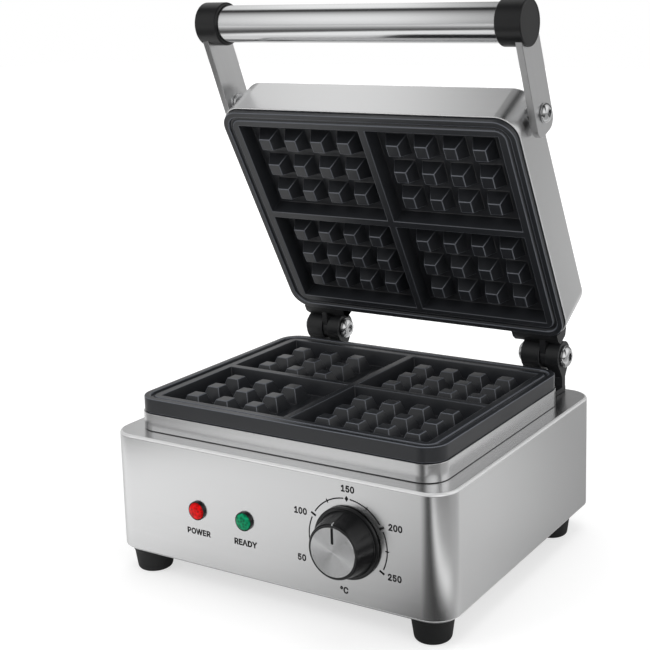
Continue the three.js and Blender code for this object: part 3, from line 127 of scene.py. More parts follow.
class CasingSizes(bpy.types.PropertyGroup):
    """Sheet parts of the base and the lid."""

    corner: length("Corner", "Outer radius of the upright corners of the base", 0.019)
    bend: length("Bend", "Radius of the fold round the top of the base", 0.0022)
    foot_bend: length("Lower bend", "Radius of the fold round the bottom of the base", 0.0012)
    sheet: length("Sheet", "Thickness of the base's sheet", 0.0015)
    lip: length("Lip", "Width of the lip folded in under the base", 0.016)
    ledge: length("Ledge", "Top sheet left inside the collar", 0.010)
    opening_corner: length("Opening corner", "Radius of the opening under the plate", 0.008)
    collar_corner: length("Collar corner", "Outer radius of the plate collar", 0.0168)
    collar_rim: length("Collar rim", "Rounding of the collar's edges", 0.0005)
    lid_corner: length("Lid corner", "Outer radius of the lid's corners", 0.0175)
    lid_bend: length("Lid bend", "Radius of the fold round the back of the lid", 0.0032)
    lid_sheet: length("Lid sheet", "Thickness of the lid's sheet", 0.0012)
    rim_edge: length("Rim edge", "Rounding of bare sheet edges", 0.0005)


class PlateSizes(bpy.types.PropertyGroup):
    """The two cast cooking plates."""

    flange: length("Flange", "Height of the part that shows above its seat", 0.011)
    corner: length("Corner", "Radius of the plate's corners", 0.016)
    spigot_inset: length("Spigot inset", "How far the seated part lies inside the flange", 0.0035)
    groove_from_edge: length("Groove from edge", "Edge to the overflow groove", 0.0045)
    groove_width: length("Groove width", "Width of the overflow groove", 0.0035)
    groove_depth: length("Groove depth", "Depth of the overflow groove", 0.002)
    groove_slope: length("Groove slope", "How far each wall of the groove leans", 0.0006)
    land_drop: length("Land drop", "How far the land lies under the rim", 0.0008)
    side_margin: length("Side margin", "Plate side to cavity", 0.014)
    end_margin: length("End margin", "Plate front or back to cavity", 0.013)
    rib: length("Rib", "Width of the cross ribs", 0.006)
    cavity_depth: length("Cavity depth", "Rim to the floor of a cavity", 0.013)
    draft: length("Draft", "How far a cavity's walls lean in", 0.002)
    peg_pitch: length("Peg pitch", "Distance from peg to peg", 0.024)
    sparse_pitch: length("Sparse pitch", "Peg distance in the left cavities below", 0.0265)
    peg_base: length("Peg base", "Width of a peg at the floor", 0.018)
    peg_top: length("Peg top", "Width of a peg at its top", 0.010)
    peg_height: length("Peg height", "Height of a peg", 0.011)
    rounding: length("Rounding", "Rounding of the casting's edges", 0.0007)
    columns: IntProperty(name="Columns", description="Peg columns in a cavity", default=4, min=1)
    rows: IntProperty(name="Rows", description="Peg rows in a cavity", default=3, min=1)
    sparse: IntProperty(name="Fewer", description="Columns left out on the left below", default=1, min=0)


class HingeSizes(bpy.types.PropertyGroup):
    """Brackets, lugs and pins of the lid."""

    barrel: length("Barrel", "Radius of the barrels", 0.012)
    left_barrel: length("Left barrel", "Length of the barrel left of the slot", 0.0155)
    slot: length("Slot", "Width of the slot for the lid's tongue", 0.0055)
    slot_floor: length("Slot floor", "Axis to the floor of the slot", 0.0145)
    leg: length("Leg", "Thickness of the bracket's leg", 0.006)
    neck: length("Neck", "Axis to where the barrel has narrowed to the leg", 0.017)
    foot: length("Foot", "Thickness of the bracket's foot", 0.004)
    pin: length("Pin", "Radius of the pin", 0.005)
    socket_depth: length("Socket depth", "Depth of the hexagon socket", 0.0042)
    socket: length("Socket", "Corner radius of the hexagon socket", 0.0034)
    tongue: length("Tongue", "Radius of the lid's tongue", 0.0105)
    tongue_room: length("Tongue room", "Clearance on each side of the tongue", 0.0005)
    seat: length("Seat", "Gap between seated pieces", 0.0003)
    lug_to_axis: length("Lug to axis", "Axis to the back of the lug", 0.0132)
    lug_flare: length("Lug flare", "Extra width at the lid, on the inner side", 0.007)
    lug_chamfer: length("Lug chamfer", "Chamfers of the lug", 0.005)
    rim: length("Rim", "Rounding of the plate's rim under the lug", 0.001)
    fixing: length("Fixing", "Radius of the bracket screws", 0.002)
    rounding: length("Rounding", "Rounding of the black castings' edges", 0.0007)


class HandleSizes(bpy.types.PropertyGroup):
    """Grip, arms and end caps."""

    wall: length("Tube wall", "Wall of the grip tube", 0.0015)
    arm_corner: length("Arm corner", "Radius of the arm's lower corners", 0.009)
    arm_edge: length("Arm edge", "Rounding of the arm's edges", 0.0005)
    arm_hole: length("Arm hole", "Radius of the pivot hole", 0.0044)
    cap_edge: length("Cap edge", "Rounding of a cap's ends", 0.0016)
    seat: length("Seat", "Gap between seated pieces", 0.0003)
    screw: length("Screw", "Radius of the pivot screw", 0.004)
    screw_head: length("Screw head", "Radius of the pivot screw's head", 0.0072)
    screw_head_height: length("Screw head height", "Height of the pivot screw's head", 0.0042)
    socket: length("Socket", "Corner radius of the pivot screw's socket", 0.0029)
    socket_depth: length("Socket depth", "Depth of the pivot screw's socket", 0.0034)
    washer: length("Washer", "Radius of the washer behind the arm", 0.008)
    screw_reach: length("Screw reach", "Screw length inside the lid's side", 0.005)


class PanelSizes(bpy.types.PropertyGroup):
    """Dial, lamps and print of the control panel."""

    skirt: length("Skirt", "Radius of the dial's skirt", 0.0252)
    skirt_height: length("Skirt height", "Thickness of the skirt", 0.0017)
    neck: length("Neck", "Radius at the foot of the grip", 0.0225)
    crown: length("Crown", "Radius at the front of the grip", 0.0184)
    gap: length("Gap", "Panel to the dial", 0.0008)
    dial_length: length("Dial length", "Length of the dial", 0.0175)
    cap: length("Cap", "Radius of the dial's metal cap", 0.0172)
    cap_thickness: length("Cap thickness", "Thickness of the metal cap", 0.001)
    cap_seat: length("Cap seat", "Depth of the seat for the cap", 0.0007)
    pointer_width: length("Pointer width", "Width of the pointer bar", 0.0018)
    pointer_end: length("Pointer end", "Middle of the cap to the pointer bar", 0.0057)
    scale: length("Scale", "Radius of the printed scale", 0.0305)
    scale_line: length("Scale line", "Width of the printed arc", 0.0009)
    major_tick: length("Major tick", "Length of the ticks beside a number", 0.0042)
    minor_tick: length("Minor tick", "Length of the ticks between numbers", 0.0030)
    arc_gap: angle("Arc gap", "Bare stretch on each side of a major tick", 4.6)
    scale_step: angle("Scale step", "Turn for 50 degrees Celsius", 60.5)
    print_height: length("Print height", "Thickness of the printed ink", 0.00004)
    number_height: length("Number height", "Height of the numbers", 0.0049)
    word_height: length("Word height", "Height of the words", 0.0046)
    word_level: length("Word level", "Lamp to the words under it", 0.0163)
    bezel: length("Bezel", "Radius of a lamp's bezel", 0.0069)
    bezel_height: length("Bezel height", "Height of a lamp's bezel", 0.0020)
    lens: length("Lens", "Radius of a lamp's lens", 0.0061)
    lens_rise: length("Lens rise", "Height of a lens above the panel", 0.0038)


class FootSizes(bpy.types.PropertyGroup):
    """The four rubber feet."""

    taper: length("Taper", "How much thinner a foot is at its bottom", 0.0025)
    rounding: length("Rounding", "Rounding of the lower rim", 0.003)
    recess: length("Recess", "Radius of the recess for the screw head", 0.006)
    recess_depth: length("Recess depth", "Depth of the recess for the screw head", 0.010)
    bore: length("Bore", "Radius of the screw hole", 0.003)
    collar: length("Collar", "Height of the straight part at the top", 0.0018)
    shoulder: length("Shoulder", "Step under the straight part", 0.0007)
    edge: length("Edge", "Rounding of the edges", 0.0004)


class BackSizes(bpy.types.PropertyGroup):
    """Cable gland and grommets."""

    seat: length("Seat", "Gap between the gland's nut and the casing", 0.0003)
    nut_edge: length("Nut edge", "Rounding of the gland's nut", 0.0006)
    gland_edge: length("Gland edge", "Rounding of the gland", 0.0003)
    grommet_edge: length("Grommet edge", "Rounding of the grommets", 0.0002)


class Finishes(bpy.types.PropertyGroup):
    """Colours of the finishes, and the roughness of the casing's steel."""

    steel: tint("Casing steel", "Satin steel of the base and the lid", (0.78, 0.782, 0.785))
    steel_roughness: share("Casing roughness", "Roughness of the satin steel", 0.235)
    arm: tint("Arm steel", "Steel of the handle's arms", (0.74, 0.742, 0.745))
    polish: tint("Grip steel", "Polished steel of the grip", (0.80, 0.805, 0.81))
    chrome: tint("Chrome", "Screws and pins", (0.78, 0.785, 0.79))
    inner: tint("Inner sheet", "Plain sheet out of sight", (0.5, 0.505, 0.51))
    coating: tint("Plate coating", "Non-stick coating of the plates", (0.017, 0.0183, 0.0212))
    hinge: tint("Hinge paint", "Black castings of the hinges", (0.012, 0.0125, 0.0135))
    plastic: tint("Black plastic", "Dial and end caps", (0.0065, 0.0067, 0.0072))
    rubber: tint("Rubber", "Feet and grommets", (0.009, 0.0093, 0.0097))
    aluminium: tint("Spun aluminium", "Cap of the dial", (0.70, 0.705, 0.71))
    ink: tint("Ink", "Print of the panel", (0.005, 0.005, 0.0055))
    red: tint("Red lens", "Lens of the power lamp", (0.50, 0.0008, 0.0012))
    green: tint("Green lens", "Lens of the ready lamp", (0.0002, 0.185, 0.078))
    sheath: tint("Heater sheath", "Tubes of the heating elements", (0.16, 0.15, 0.14))
    copper: tint("Copper", "Capillary tube and sensing bulb", (0.62, 0.30, 0.17))
    insulator: tint("Insulator", "Terminal block and lamp bodies", (0.74, 0.70, 0.62))


class StageSizes(bpy.types.PropertyGroup):
    """Camera and floor."""

    turn: angle("Turn", "Camera's turn to the right of the front", 30.2)
    pitch: angle("Pitch", "Camera's look down", 10.95)
    roll: angle("Roll", "Camera's roll", -1.0)
    place: FloatVectorProperty(
        name="Place", description="Where the camera stands", default=(0.5065, -0.8033, 0.418), unit="LENGTH"
    )
    focal: FloatProperty(
        name="Focal length", description="Focal length of the lens", default=72.0, unit="CAMERA"
    )
    shift_left: share("Shift left", "Lens shift, as a share of the frame", 0.12)
    shift_down: share("Shift down", "Lens shift, as a share of the frame", 0.12)
    floor: length("Floor", "Side of the floor", 12)
    floor_tone: share("Floor tone", "How pale the floor is", 0.93)


# Selecting and shaping
def deselect():
    """Leaves edit mode and deselects everything."""
    if bpy.context.object and bpy.context.object.mode != "OBJECT":
        bpy.ops.object.mode_set(mode="OBJECT")
    bpy.ops.object.select_all(action="DESELECT")


def activate(piece):
    """Makes one piece the only selected and the active one."""
    deselect()
    piece.select_set(True)
    bpy.context.view_layer.objects.active = piece


def named(name):
    """Names the piece that was just added and lays its place into its mesh."""
    piece = bpy.context.object
    piece.name = name
    piece.data.name = name
    bpy.ops.object.transform_apply(location=True, rotation=True, scale=True)
    return piece


def block(name, low, high):
    """A box between two corners, as a start for a piece."""
    deselect()
    low, high = Vector(low), Vector(high)
    bpy.ops.mesh.primitive_cube_add(size=1, location=(low + high) / 2, scale=high - low)
    return named(name)


def rod(name, radius, low, high, place=HERE, sides=TURN_STEPS):
    """A round or many-sided bar along Z, as a start or a cutting tool."""
    deselect()
    bpy.ops.mesh.primitive_cylinder_add(
        vertices=sides, radius=radius, depth=high - low, location=(0, 0, (low + high) / 2)
    )
    return put(named(name), place)


def put(piece, place):
    """Moves a piece to its place and lays the move into its mesh."""
    activate(piece)
    piece.matrix_world = place
    bpy.ops.object.transform_apply(location=True, rotation=True, scale=True)
    return piece


def select(piece, kind, test):
    """Enters edit mode with the points, edges or faces that pass the test selected."""
    activate(piece)
    mesh = piece.data
    for elements in (mesh.vertices, mesh.edges, mesh.polygons):
        elements.foreach_set("select", [False] * len(elements))
    if kind == "VERT":
        for point in mesh.vertices:
            point.select = test(point.co)
    elif kind == "EDGE":
        for edge in mesh.edges:
            edge.select = test(*(mesh.vertices[index].co for index in edge.vertices))
    else:
        for face in mesh.polygons:
            face.select = test(face.center, face.normal)
    bpy.context.tool_settings.mesh_select_mode = (kind == "VERT", kind == "EDGE", kind == "FACE")
    bpy.ops.object.mode_set(mode="EDIT")


def shape(piece, kind, test, *steps):
    """Selects what passes the test and runs edit-mode steps on it, each given as (operator, settings)."""
    select(piece, kind, test)
    for operator, settings in steps:
        operator(**settings)
    bpy.ops.object.mode_set(mode="OBJECT")
    return piece


def bevel(width, segments):
    """A step that rounds the selected edges."""
    return bpy.ops.mesh.bevel, {"offset": width, "segments": segments, "affect": "EDGES"}


def inset(width, depth=0.0, each=False):
    """A step that insets the selected faces and raises or sinks them."""
    return bpy.ops.mesh.inset, {"thickness": width, "depth": depth, "use_individual": each}


def push(move):
    """A step that extrudes the selection by a move."""
    return bpy.ops.mesh.extrude_region_move, {"TRANSFORM_OT_translate": {"value": move}}


def slice_at(place, normal, **settings):
    """A step that cuts the selection along a plane."""
    return bpy.ops.mesh.bisect, {"plane_co": place, "plane_no": normal, **settings}


def delete(kind):
    """A step that deletes the selection."""
    return bpy.ops.mesh.delete, {"type": kind}


def upright(start, end):
    """True for edges that run along Z."""
    return (start - end).xy.length < NEAR


def everything(*_):
    """True for all elements."""
    return True


def at_level(level):
    """A test for edges that lie at one height."""
    return lambda start, end: max(abs(start.z - level), abs(end.z - level)) < NEAR


def facing_up(centre, normal):
    """True for faces that look up."""
    return normal.z > FACING_SHARE


def facing_down(centre, normal):
    """True for faces that look down."""
    return normal.z < -FACING_SHARE


def modify(piece, kind, **settings):
    """Adds a modifier with its settings and applies it."""
    activate(piece)
    bpy.ops.object.modifier_add(type=kind)
    modifier = piece.modifiers[-1]
    for setting, value in settings.items():
        setattr(modifier, setting, value)
    bpy.ops.object.modifier_apply(modifier=modifier.name)
    return piece


def combine(piece, operation, *tools):
    """Cuts tools out of a piece, or joins them to it, and removes them."""
    for tool in tools:
        modify(piece, "BOOLEAN", object=tool, operation=operation, solver="EXACT")
        bpy.data.objects.remove(tool)
    return piece


def round_edges(piece, width, segments=3):
    """Rounds every sharp edge of a piece."""
    return modify(
        piece, "BEVEL", width=width, segments=segments, limit_method="ANGLE",
        angle_limit=BEVEL_ABOVE, use_clamp_overlap=True,
    )


def worn(piece, width):
    """Marks the ridges of the rounded outer edges, in the attribute that the finishes read to paint highlights
    there or dull the steel.
    """
    mesh = piece.data
    points = mesh.vertices
    marks = [1.0] * len(points)
    lowest = [0.0] * len(points)
    for face in mesh.polygons:
        outline = sum((points[start].co - points[end].co).length for start, end in face.edge_keys)
        if 2 * face.area > width * outline:
            for index in face.vertices:
                marks[index] = 0.0
    for edge in mesh.edges:
        for here, there in (edge.vertices, reversed(edge.vertices)):
            lean = (points[there].co - points[here].co).normalized().dot(points[here].normal)
            lowest[here] = min(lowest[here], lean)
            if lean > LEAN_SHARE:
                marks[here] = 0.0
    attribute = mesh.attributes.new(SHEEN_RIDGES, "FLOAT", "POINT")
    attribute.data.foreach_set("value", [mark * (low < -LEAN_SHARE) for mark, low in zip(marks, lowest)])
    return piece


def drawn(name, points):
    """A line of points, drawn one by one from a plane that is shrunk to a point."""
    deselect()
    bpy.ops.mesh.primitive_plane_add(size=1)
    piece = named(name)
    select(piece, "VERT", everything)
    bpy.ops.mesh.merge(type="CENTER")
    bpy.ops.transform.translate(value=points[0])
    for start, end in zip(points, points[1:]):
        bpy.ops.mesh.extrude_vertices_move(TRANSFORM_OT_translate={"value": Vector(end) - Vector(start)})
    return piece


def turned(name, profile, place=HERE, steps=TURN_STEPS, turn=2 * math.pi):
    """A profile of (radius, height) pairs turned round the Z axis."""
    piece = drawn(name, [(radius, 0, height) for radius, height in profile])
    bpy.ops.mesh.select_all(action="SELECT")
    bpy.ops.mesh.spin(steps=steps, angle=-turn, center=(0, 0, 0), axis=(0, 0, 1))
    bpy.ops.mesh.select_all(action="SELECT")
    bpy.ops.mesh.remove_doubles(threshold=NEAR / 100)
    bpy.ops.mesh.normals_make_consistent(inside=False)
    return put(piece, place)


def outlined(name, outline, depth, place=HERE):
    """An outline of (x, y) pairs filled and extruded along Z."""
    piece = drawn(name, [(x, y, 0) for x, y in outline])
    bpy.ops.mesh.select_all(action="SELECT")
    bpy.ops.mesh.edge_face_add()
    bpy.ops.mesh.extrude_region_move(TRANSFORM_OT_translate={"value": (0, 0, depth)})
    bpy.ops.mesh.select_all(action="SELECT")
    bpy.ops.mesh.normals_make_consistent(inside=False)
    return put(piece, place)


def arc(radius, start, end, steps, centre=(0, 0)):
    """Points along a circle, with the angles in degrees."""
    turns = [math.radians(start + (end - start) * step / steps) for step in range(steps + 1)]
    return [
        (centre[0] + radius * math.cos(turn), centre[1] + radius * math.sin(turn)) for turn in turns
    ]


def copied(piece, name, place=HERE):
    """A copy of a piece with its own mesh."""
    activate(piece)
    bpy.ops.object.duplicate(linked=False)
    return put(named(name), place)


def joined(first, *others):
    """Several pieces as one piece."""
    activate(first)
    for piece in others:
        piece.select_set(True)
    bpy.ops.object.join()
    return first


def finish(piece, body, slot, *nodes, coat=None):
    """Smooths a piece, gives it its slot's finish or another coat, ties it to its body and hides the nodes that it
    stands in for.
    """
    activate(piece)
    bpy.ops.object.shade_smooth_by_angle(angle=SMOOTH_BELOW)
    modify(piece, "WEIGHTED_NORMAL", keep_sharp=True)
    piece.data.materials.clear()
    piece.data.materials.append(FINISHES[coat or SLOT_FINISHES[slot]])
    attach(piece, body)
    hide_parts(*nodes)
    return piece


def middle_of(node):
    """The middle of a CAD node's box."""
    low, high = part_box(node)
    return (low + high) / 2


def local_box(node, place=HERE):
    """Lowest and highest corner of a CAD node, measured in a group's own frame."""
    back = place.inverted()
    points = [back @ vertex.co for vertex in frame["nodes"][node].data.vertices]
    low = Vector([min(point[axis] for point in points) for axis in range(3)])
    high = Vector([max(point[axis] for point in points) for axis in range(3)])
    return low, high


# Finishes
def new_group(name, inputs, outputs):
    """An empty shader group with its sockets, and its input and output nodes."""
    group = bpy.data.node_groups.new(name, "ShaderNodeTree")
    for socket, kind, default in inputs:
        made = group.interface.new_socket(name=socket, in_out="INPUT", socket_type=kind)
        if default is not None:
            made.default_value = default
    for socket in outputs:
        group.interface.new_socket(name=socket, in_out="OUTPUT", socket_type="NodeSocketFloat")
    return group, group.nodes.new("NodeGroupInput"), group.nodes.new("NodeGroupOutput")


def feed(tree, socket, value):
    """Gives an input socket a number, or what another socket puts out."""
    if isinstance(value, (int, float)):
        socket.default_value = value
    else:
        tree.links.new(value, socket)


def noise_in(group, vector, scale, detail):
    """A noise texture inside a group."""
    noise = group.nodes.new("ShaderNodeTexNoise")
    noise.inputs["Detail"].default_value = detail
    feed(group, noise.inputs["Scale"], scale)
    group.links.new(vector, noise.inputs["Vector"])
    return noise.outputs["Fac"]


def calculation(tree, operation, *operands):
    """A Math node. Each operand is a socket or a number."""
    node = tree.nodes.new("ShaderNodeMath")
    node.operation = operation
    for operand, socket in zip(operands, node.inputs):
        feed(tree, socket, operand)
    return node.outputs[0]


def added(tree, first, second):
    """The sum of two operands."""
    return calculation(tree, "ADD", first, second)


def multiplied(tree, first, second):
    """The product of two operands."""
    return calculation(tree, "MULTIPLY", first, second)


def subtracted(tree, first, second):
    """The first operand less the second."""
    return calculation(tree, "SUBTRACT", first, second)


def grey_colour(tree, level):
    """A grey colour of a level that varies."""
    grey = tree.nodes.new("ShaderNodeCombineColor")
    for channel in ("Red", "Green", "Blue"):
        tree.links.new(level, grey.inputs[channel])
    return grey.outputs["Color"]


# Middle level of a noise texture
NOISE_MIDDLE = 0.5
# The slow variation of brushed metal: its scale and its strength, as shares of the streaks'
BROAD_SCALE_SHARE = 0.13
BROAD_STRENGTH_SHARE = 0.6
CLOUD_SCALE = 22


def make_brushing_group():
    """Brushed metal: fine streaks across the stretched vector, over slow cloudy variation."""
    group, entry, leave = new_group(
        "Brushing",
        [("Vector", "NodeSocketVector", None), ("Streaks", "NodeSocketFloat", 1.0)],
        ["Tone", "Height"],
    )
    fine = noise_in(group, entry.outputs["Vector"], scale=1, detail=4)
    broad = noise_in(group, entry.outputs["Vector"], scale=BROAD_SCALE_SHARE, detail=2)
    both = added(group, fine, multiplied(group, broad, BROAD_STRENGTH_SHARE))
    centred = subtracted(group, both, NOISE_MIDDLE * (1 + BROAD_STRENGTH_SHARE))
    strong = multiplied(group, centred, entry.outputs["Streaks"])
    group.links.new(added(group, strong, 1), leave.inputs["Tone"])
    group.links.new(fine, leave.inputs["Height"])
    return group


def make_grain_group():
    """Fine even grain of coatings, castings and moulded parts, with slow cloudy variation."""
    group, entry, leave = new_group(
        "Grain",
        [
            ("Vector", "NodeSocketVector", None),
            ("Fineness", "NodeSocketFloat", 2500.0),
            ("Clouds", "NodeSocketFloat", 0.1),
        ],
        ["Tone", "Height"],
    )
    grain = noise_in(group, entry.outputs["Vector"], scale=entry.outputs["Fineness"], detail=3)
    clouds = noise_in(group, entry.outputs["Vector"], scale=CLOUD_SCALE, detail=3)
    centred = subtracted(group, clouds, NOISE_MIDDLE)
    strong = multiplied(group, centred, entry.outputs["Clouds"])
    group.links.new(added(group, strong, 1), leave.inputs["Tone"])
    group.links.new(grain, leave.inputs["Height"])
    return group


class Paint:
    """One material under construction: its shader, and the nodes that vary it."""

    def __init__(self, name, colour, roughness, metallic=0.0, **settings):
        self.material = bpy.data.materials.new(name)
        self.material.use_nodes = True
        self.tree = self.material.node_tree
        self.shader = self.tree.nodes["Principled BSDF"]
        self.colour = (*colour, 1)
        self.roughness = roughness
        self.shader.inputs["Base Color"].default_value = self.colour
        self.shader.inputs["Roughness"].default_value = roughness
        self.shader.inputs["Metallic"].default_value = metallic
        for socket, value in settings.items():
            self.shader.inputs[socket.replace("_", " ")].default_value = value

    def vector(self, scale=(1, 1, 1), turn=(0, 0, 0), centre=(0, 0, 0)):
        """Object coordinates, moved to a centre, turned and scaled."""
        place = self.tree.nodes.new("ShaderNodeTexCoord").outputs["Object"]
        if any(turn):
            turned_by = self.tree.nodes.new("ShaderNodeVectorRotate")
            turned_by.rotation_type = "EULER_XYZ"
            turned_by.inputs["Rotation"].default_value = turn
            self.tree.links.new(place, turned_by.inputs["Vector"])
            place = turned_by.outputs["Vector"]
        mapping = self.tree.nodes.new("ShaderNodeMapping")
        mapping.inputs["Location"].default_value = [-away * times for away, times in zip(centre, scale)]
        mapping.inputs["Scale"].default_value = scale
        self.tree.links.new(place, mapping.inputs["Vector"])
        return mapping.outputs["Vector"]

    def effect(self, group, vector, **values):
        """Places a shared group in the material with its own values."""
        node = self.tree.nodes.new("ShaderNodeGroup")
        node.node_tree = group
        self.tree.links.new(vector, node.inputs["Vector"])
        for socket, value in values.items():
            node.inputs[socket].default_value = value
        return node

    def shade(self, tone):
        """Multiplies the colour by a tone that varies over the surface."""
        mix = self.tree.nodes.new("ShaderNodeMix")
        mix.data_type = "RGBA"
        mix.blend_type = "MULTIPLY"
        mix.inputs["Factor"].default_value = 1.0
        mix.inputs["A"].default_value = self.colour
        self.tree.links.new(grey_colour(self.tree, tone), mix.inputs["B"])
        self.tree.links.new(mix.outputs["Result"], self.shader.inputs["Base Color"])

    def dull(self, mask, amount):
        """Makes metal look less polished where a mask is one."""
        less = multiplied(self.tree, mask, -amount)
        self.tree.links.new(added(self.tree, less, 1), self.shader.inputs["Metallic"])

    def vary_roughness(self, tone, amount):
        """Adds a share of a tone's deviation to the roughness."""
        deviation = multiplied(self.tree, subtracted(self.tree, tone, 1), amount)
        total = added(self.tree, deviation, self.roughness)
        self.tree.links.new(total, self.shader.inputs["Roughness"])

    def bump(self, height, distance):
        """Gives the surface relief from a height."""
        node = self.tree.nodes.new("ShaderNodeBump")
        node.inputs["Distance"].default_value = distance
        self.tree.links.new(height, node.inputs["Height"])
        self.tree.links.new(node.outputs["Normal"], self.shader.inputs["Normal"])


# How long and how fine brushing streaks are, as texture scales along and across the brushing
ALONG_SCALE = 14
ACROSS_SCALE = 2600
RING_SCALE = 900
CELL_SCALE = 520
# How much duller the ridges of steel sheet are than its faces, and how much painted shade darkens a bar's narrow
# faces
EDGE_DULL = 0.65
NARROW_SHADE = 0.35
# How much of a tone's deviation goes into the roughness
BRUSHED_ROUGHNESS_SHARE = 0.5
GRAINED_ROUGHNESS_SHARE = 0.6
# Moulded cells of the lamps' lenses: tone in their middles, painted glints rising towards their borders, and glow
CELL_TONE = 0.25
CELL_GLINT = 1.5
LENS_GLOW = 0.12
# Heights of the relief, in metres
BRUSHED_RELIEF = 0.0000022
GRIP_RELIEF = 0.0000006
CAST_RELIEF = 0.00002
MOULDED_RELIEF = 0.000014
SMOOTH_RELIEF = 0.000004
PLATED_RELIEF = 0.000002
SPUN_RELIEF = 0.00006


def brushed(name, colour, roughness, along, turn=(0, 0, 0), streaks=0.10, relief=BRUSHED_RELIEF, narrow_shade=0.0):
    """Metal brushed along one axis, in the frame of a turned group where a turn is given, with painted shade on a
    bar's narrow faces where asked.
    """
    paint = Paint(name, colour, roughness, metallic=1.0)
    scale = [ALONG_SCALE if axis == along else ACROSS_SCALE for axis in "XYZ"]
    brushing = paint.effect(GROUPS["brushing"], paint.vector(scale, turn), Streaks=streaks)
    tone = brushing.outputs["Tone"]
    # Painted shade: the narrow faces are darker
    if narrow_shade:
        tone = subtracted(paint.tree, tone, cut_mask(paint.tree, narrow_shade))
    paint.shade(tone)
    paint.dull(edge_mask(paint.tree), EDGE_DULL)
    paint.vary_roughness(brushing.outputs["Tone"], BRUSHED_ROUGHNESS_SHARE)
    paint.bump(brushing.outputs["Height"], relief)
    return paint.material


def grained(name, colour, roughness, fineness, relief, clouds, metallic=0.0, edge=0.0, **settings):
    """A coated, cast or moulded surface with an even grain, and painted highlights that lighten its outer edges
    where asked.
    """
    paint = Paint(name, colour, roughness, metallic, **settings)
    grain = paint.effect(GROUPS["grain"], paint.vector(), Fineness=fineness, Clouds=clouds)
    tone = grain.outputs["Tone"]
    # Painted highlight: the rounded ridges are lighter by the edge amount
    if edge:
        tone = added(paint.tree, tone, multiplied(paint.tree, edge_mask(paint.tree), edge))
    paint.shade(tone)
    paint.vary_roughness(grain.outputs["Tone"], GRAINED_ROUGHNESS_SHARE)
    paint.bump(grain.outputs["Height"], relief)
    return paint.material


def edge_mask(tree):
    """One on the rounded ridges that are marked for painted highlights, and nothing elsewhere."""
    attribute = tree.nodes.new("ShaderNodeAttribute")
    attribute.attribute_name = SHEEN_RIDGES
    return attribute.outputs["Fac"]


def cut_mask(tree, strength):
    """Painted shade: the strength on the narrow faces of a bar whose broad faces look along X, and nothing on the
    broad faces.
    """
    split = tree.nodes.new("ShaderNodeSeparateXYZ")
    tree.links.new(tree.nodes.new("ShaderNodeTexCoord").outputs["Normal"], split.inputs["Vector"])
    facing = calculation(tree, "ABSOLUTE", split.outputs["X"])
    return multiplied(tree, subtracted(tree, 1, facing), strength)


def spun(name, colour, roughness, centre):
    """Metal spun on a lathe: fine rings round a centre on the front panel."""
    paint = Paint(name, colour, roughness, metallic=1.0)
    wave = paint.tree.nodes.new("ShaderNodeTexWave")
    wave.wave_type = "RINGS"
    wave.rings_direction = "Y"
    wave.inputs["Scale"].default_value = RING_SCALE
    paint.tree.links.new(paint.vector(centre=centre), wave.inputs["Vector"])
    grain = paint.effect(GROUPS["grain"], paint.vector(), Clouds=0.06)
    paint.shade(grain.outputs["Tone"])
    paint.bump(wave.outputs["Fac"], SPUN_RELIEF)
    return paint.material


def lens(name, colour):
    """Coloured plastic with moulded cells that carry painted glints, and a faint glow of its own."""
    paint = Paint(
        name, colour, roughness=0.25, Coat_Weight=0.15, Coat_Roughness=0.03, Specular_IOR_Level=0.12
    )
    cells = paint.tree.nodes.new("ShaderNodeTexVoronoi")
    cells.inputs["Scale"].default_value = CELL_SCALE
    paint.tree.links.new(paint.vector(), cells.inputs["Vector"])
    # Painted glints: each cell is lighter towards its border
    glint = multiplied(paint.tree, cells.outputs["Distance"], CELL_GLINT)
    paint.shade(added(paint.tree, glint, CELL_TONE))
    paint.shader.inputs["Emission Color"].default_value = paint.colour
    paint.shader.inputs["Emission Strength"].default_value = LENS_GLOW
    return paint.material


GROUPS = {}
FINISHES = {}


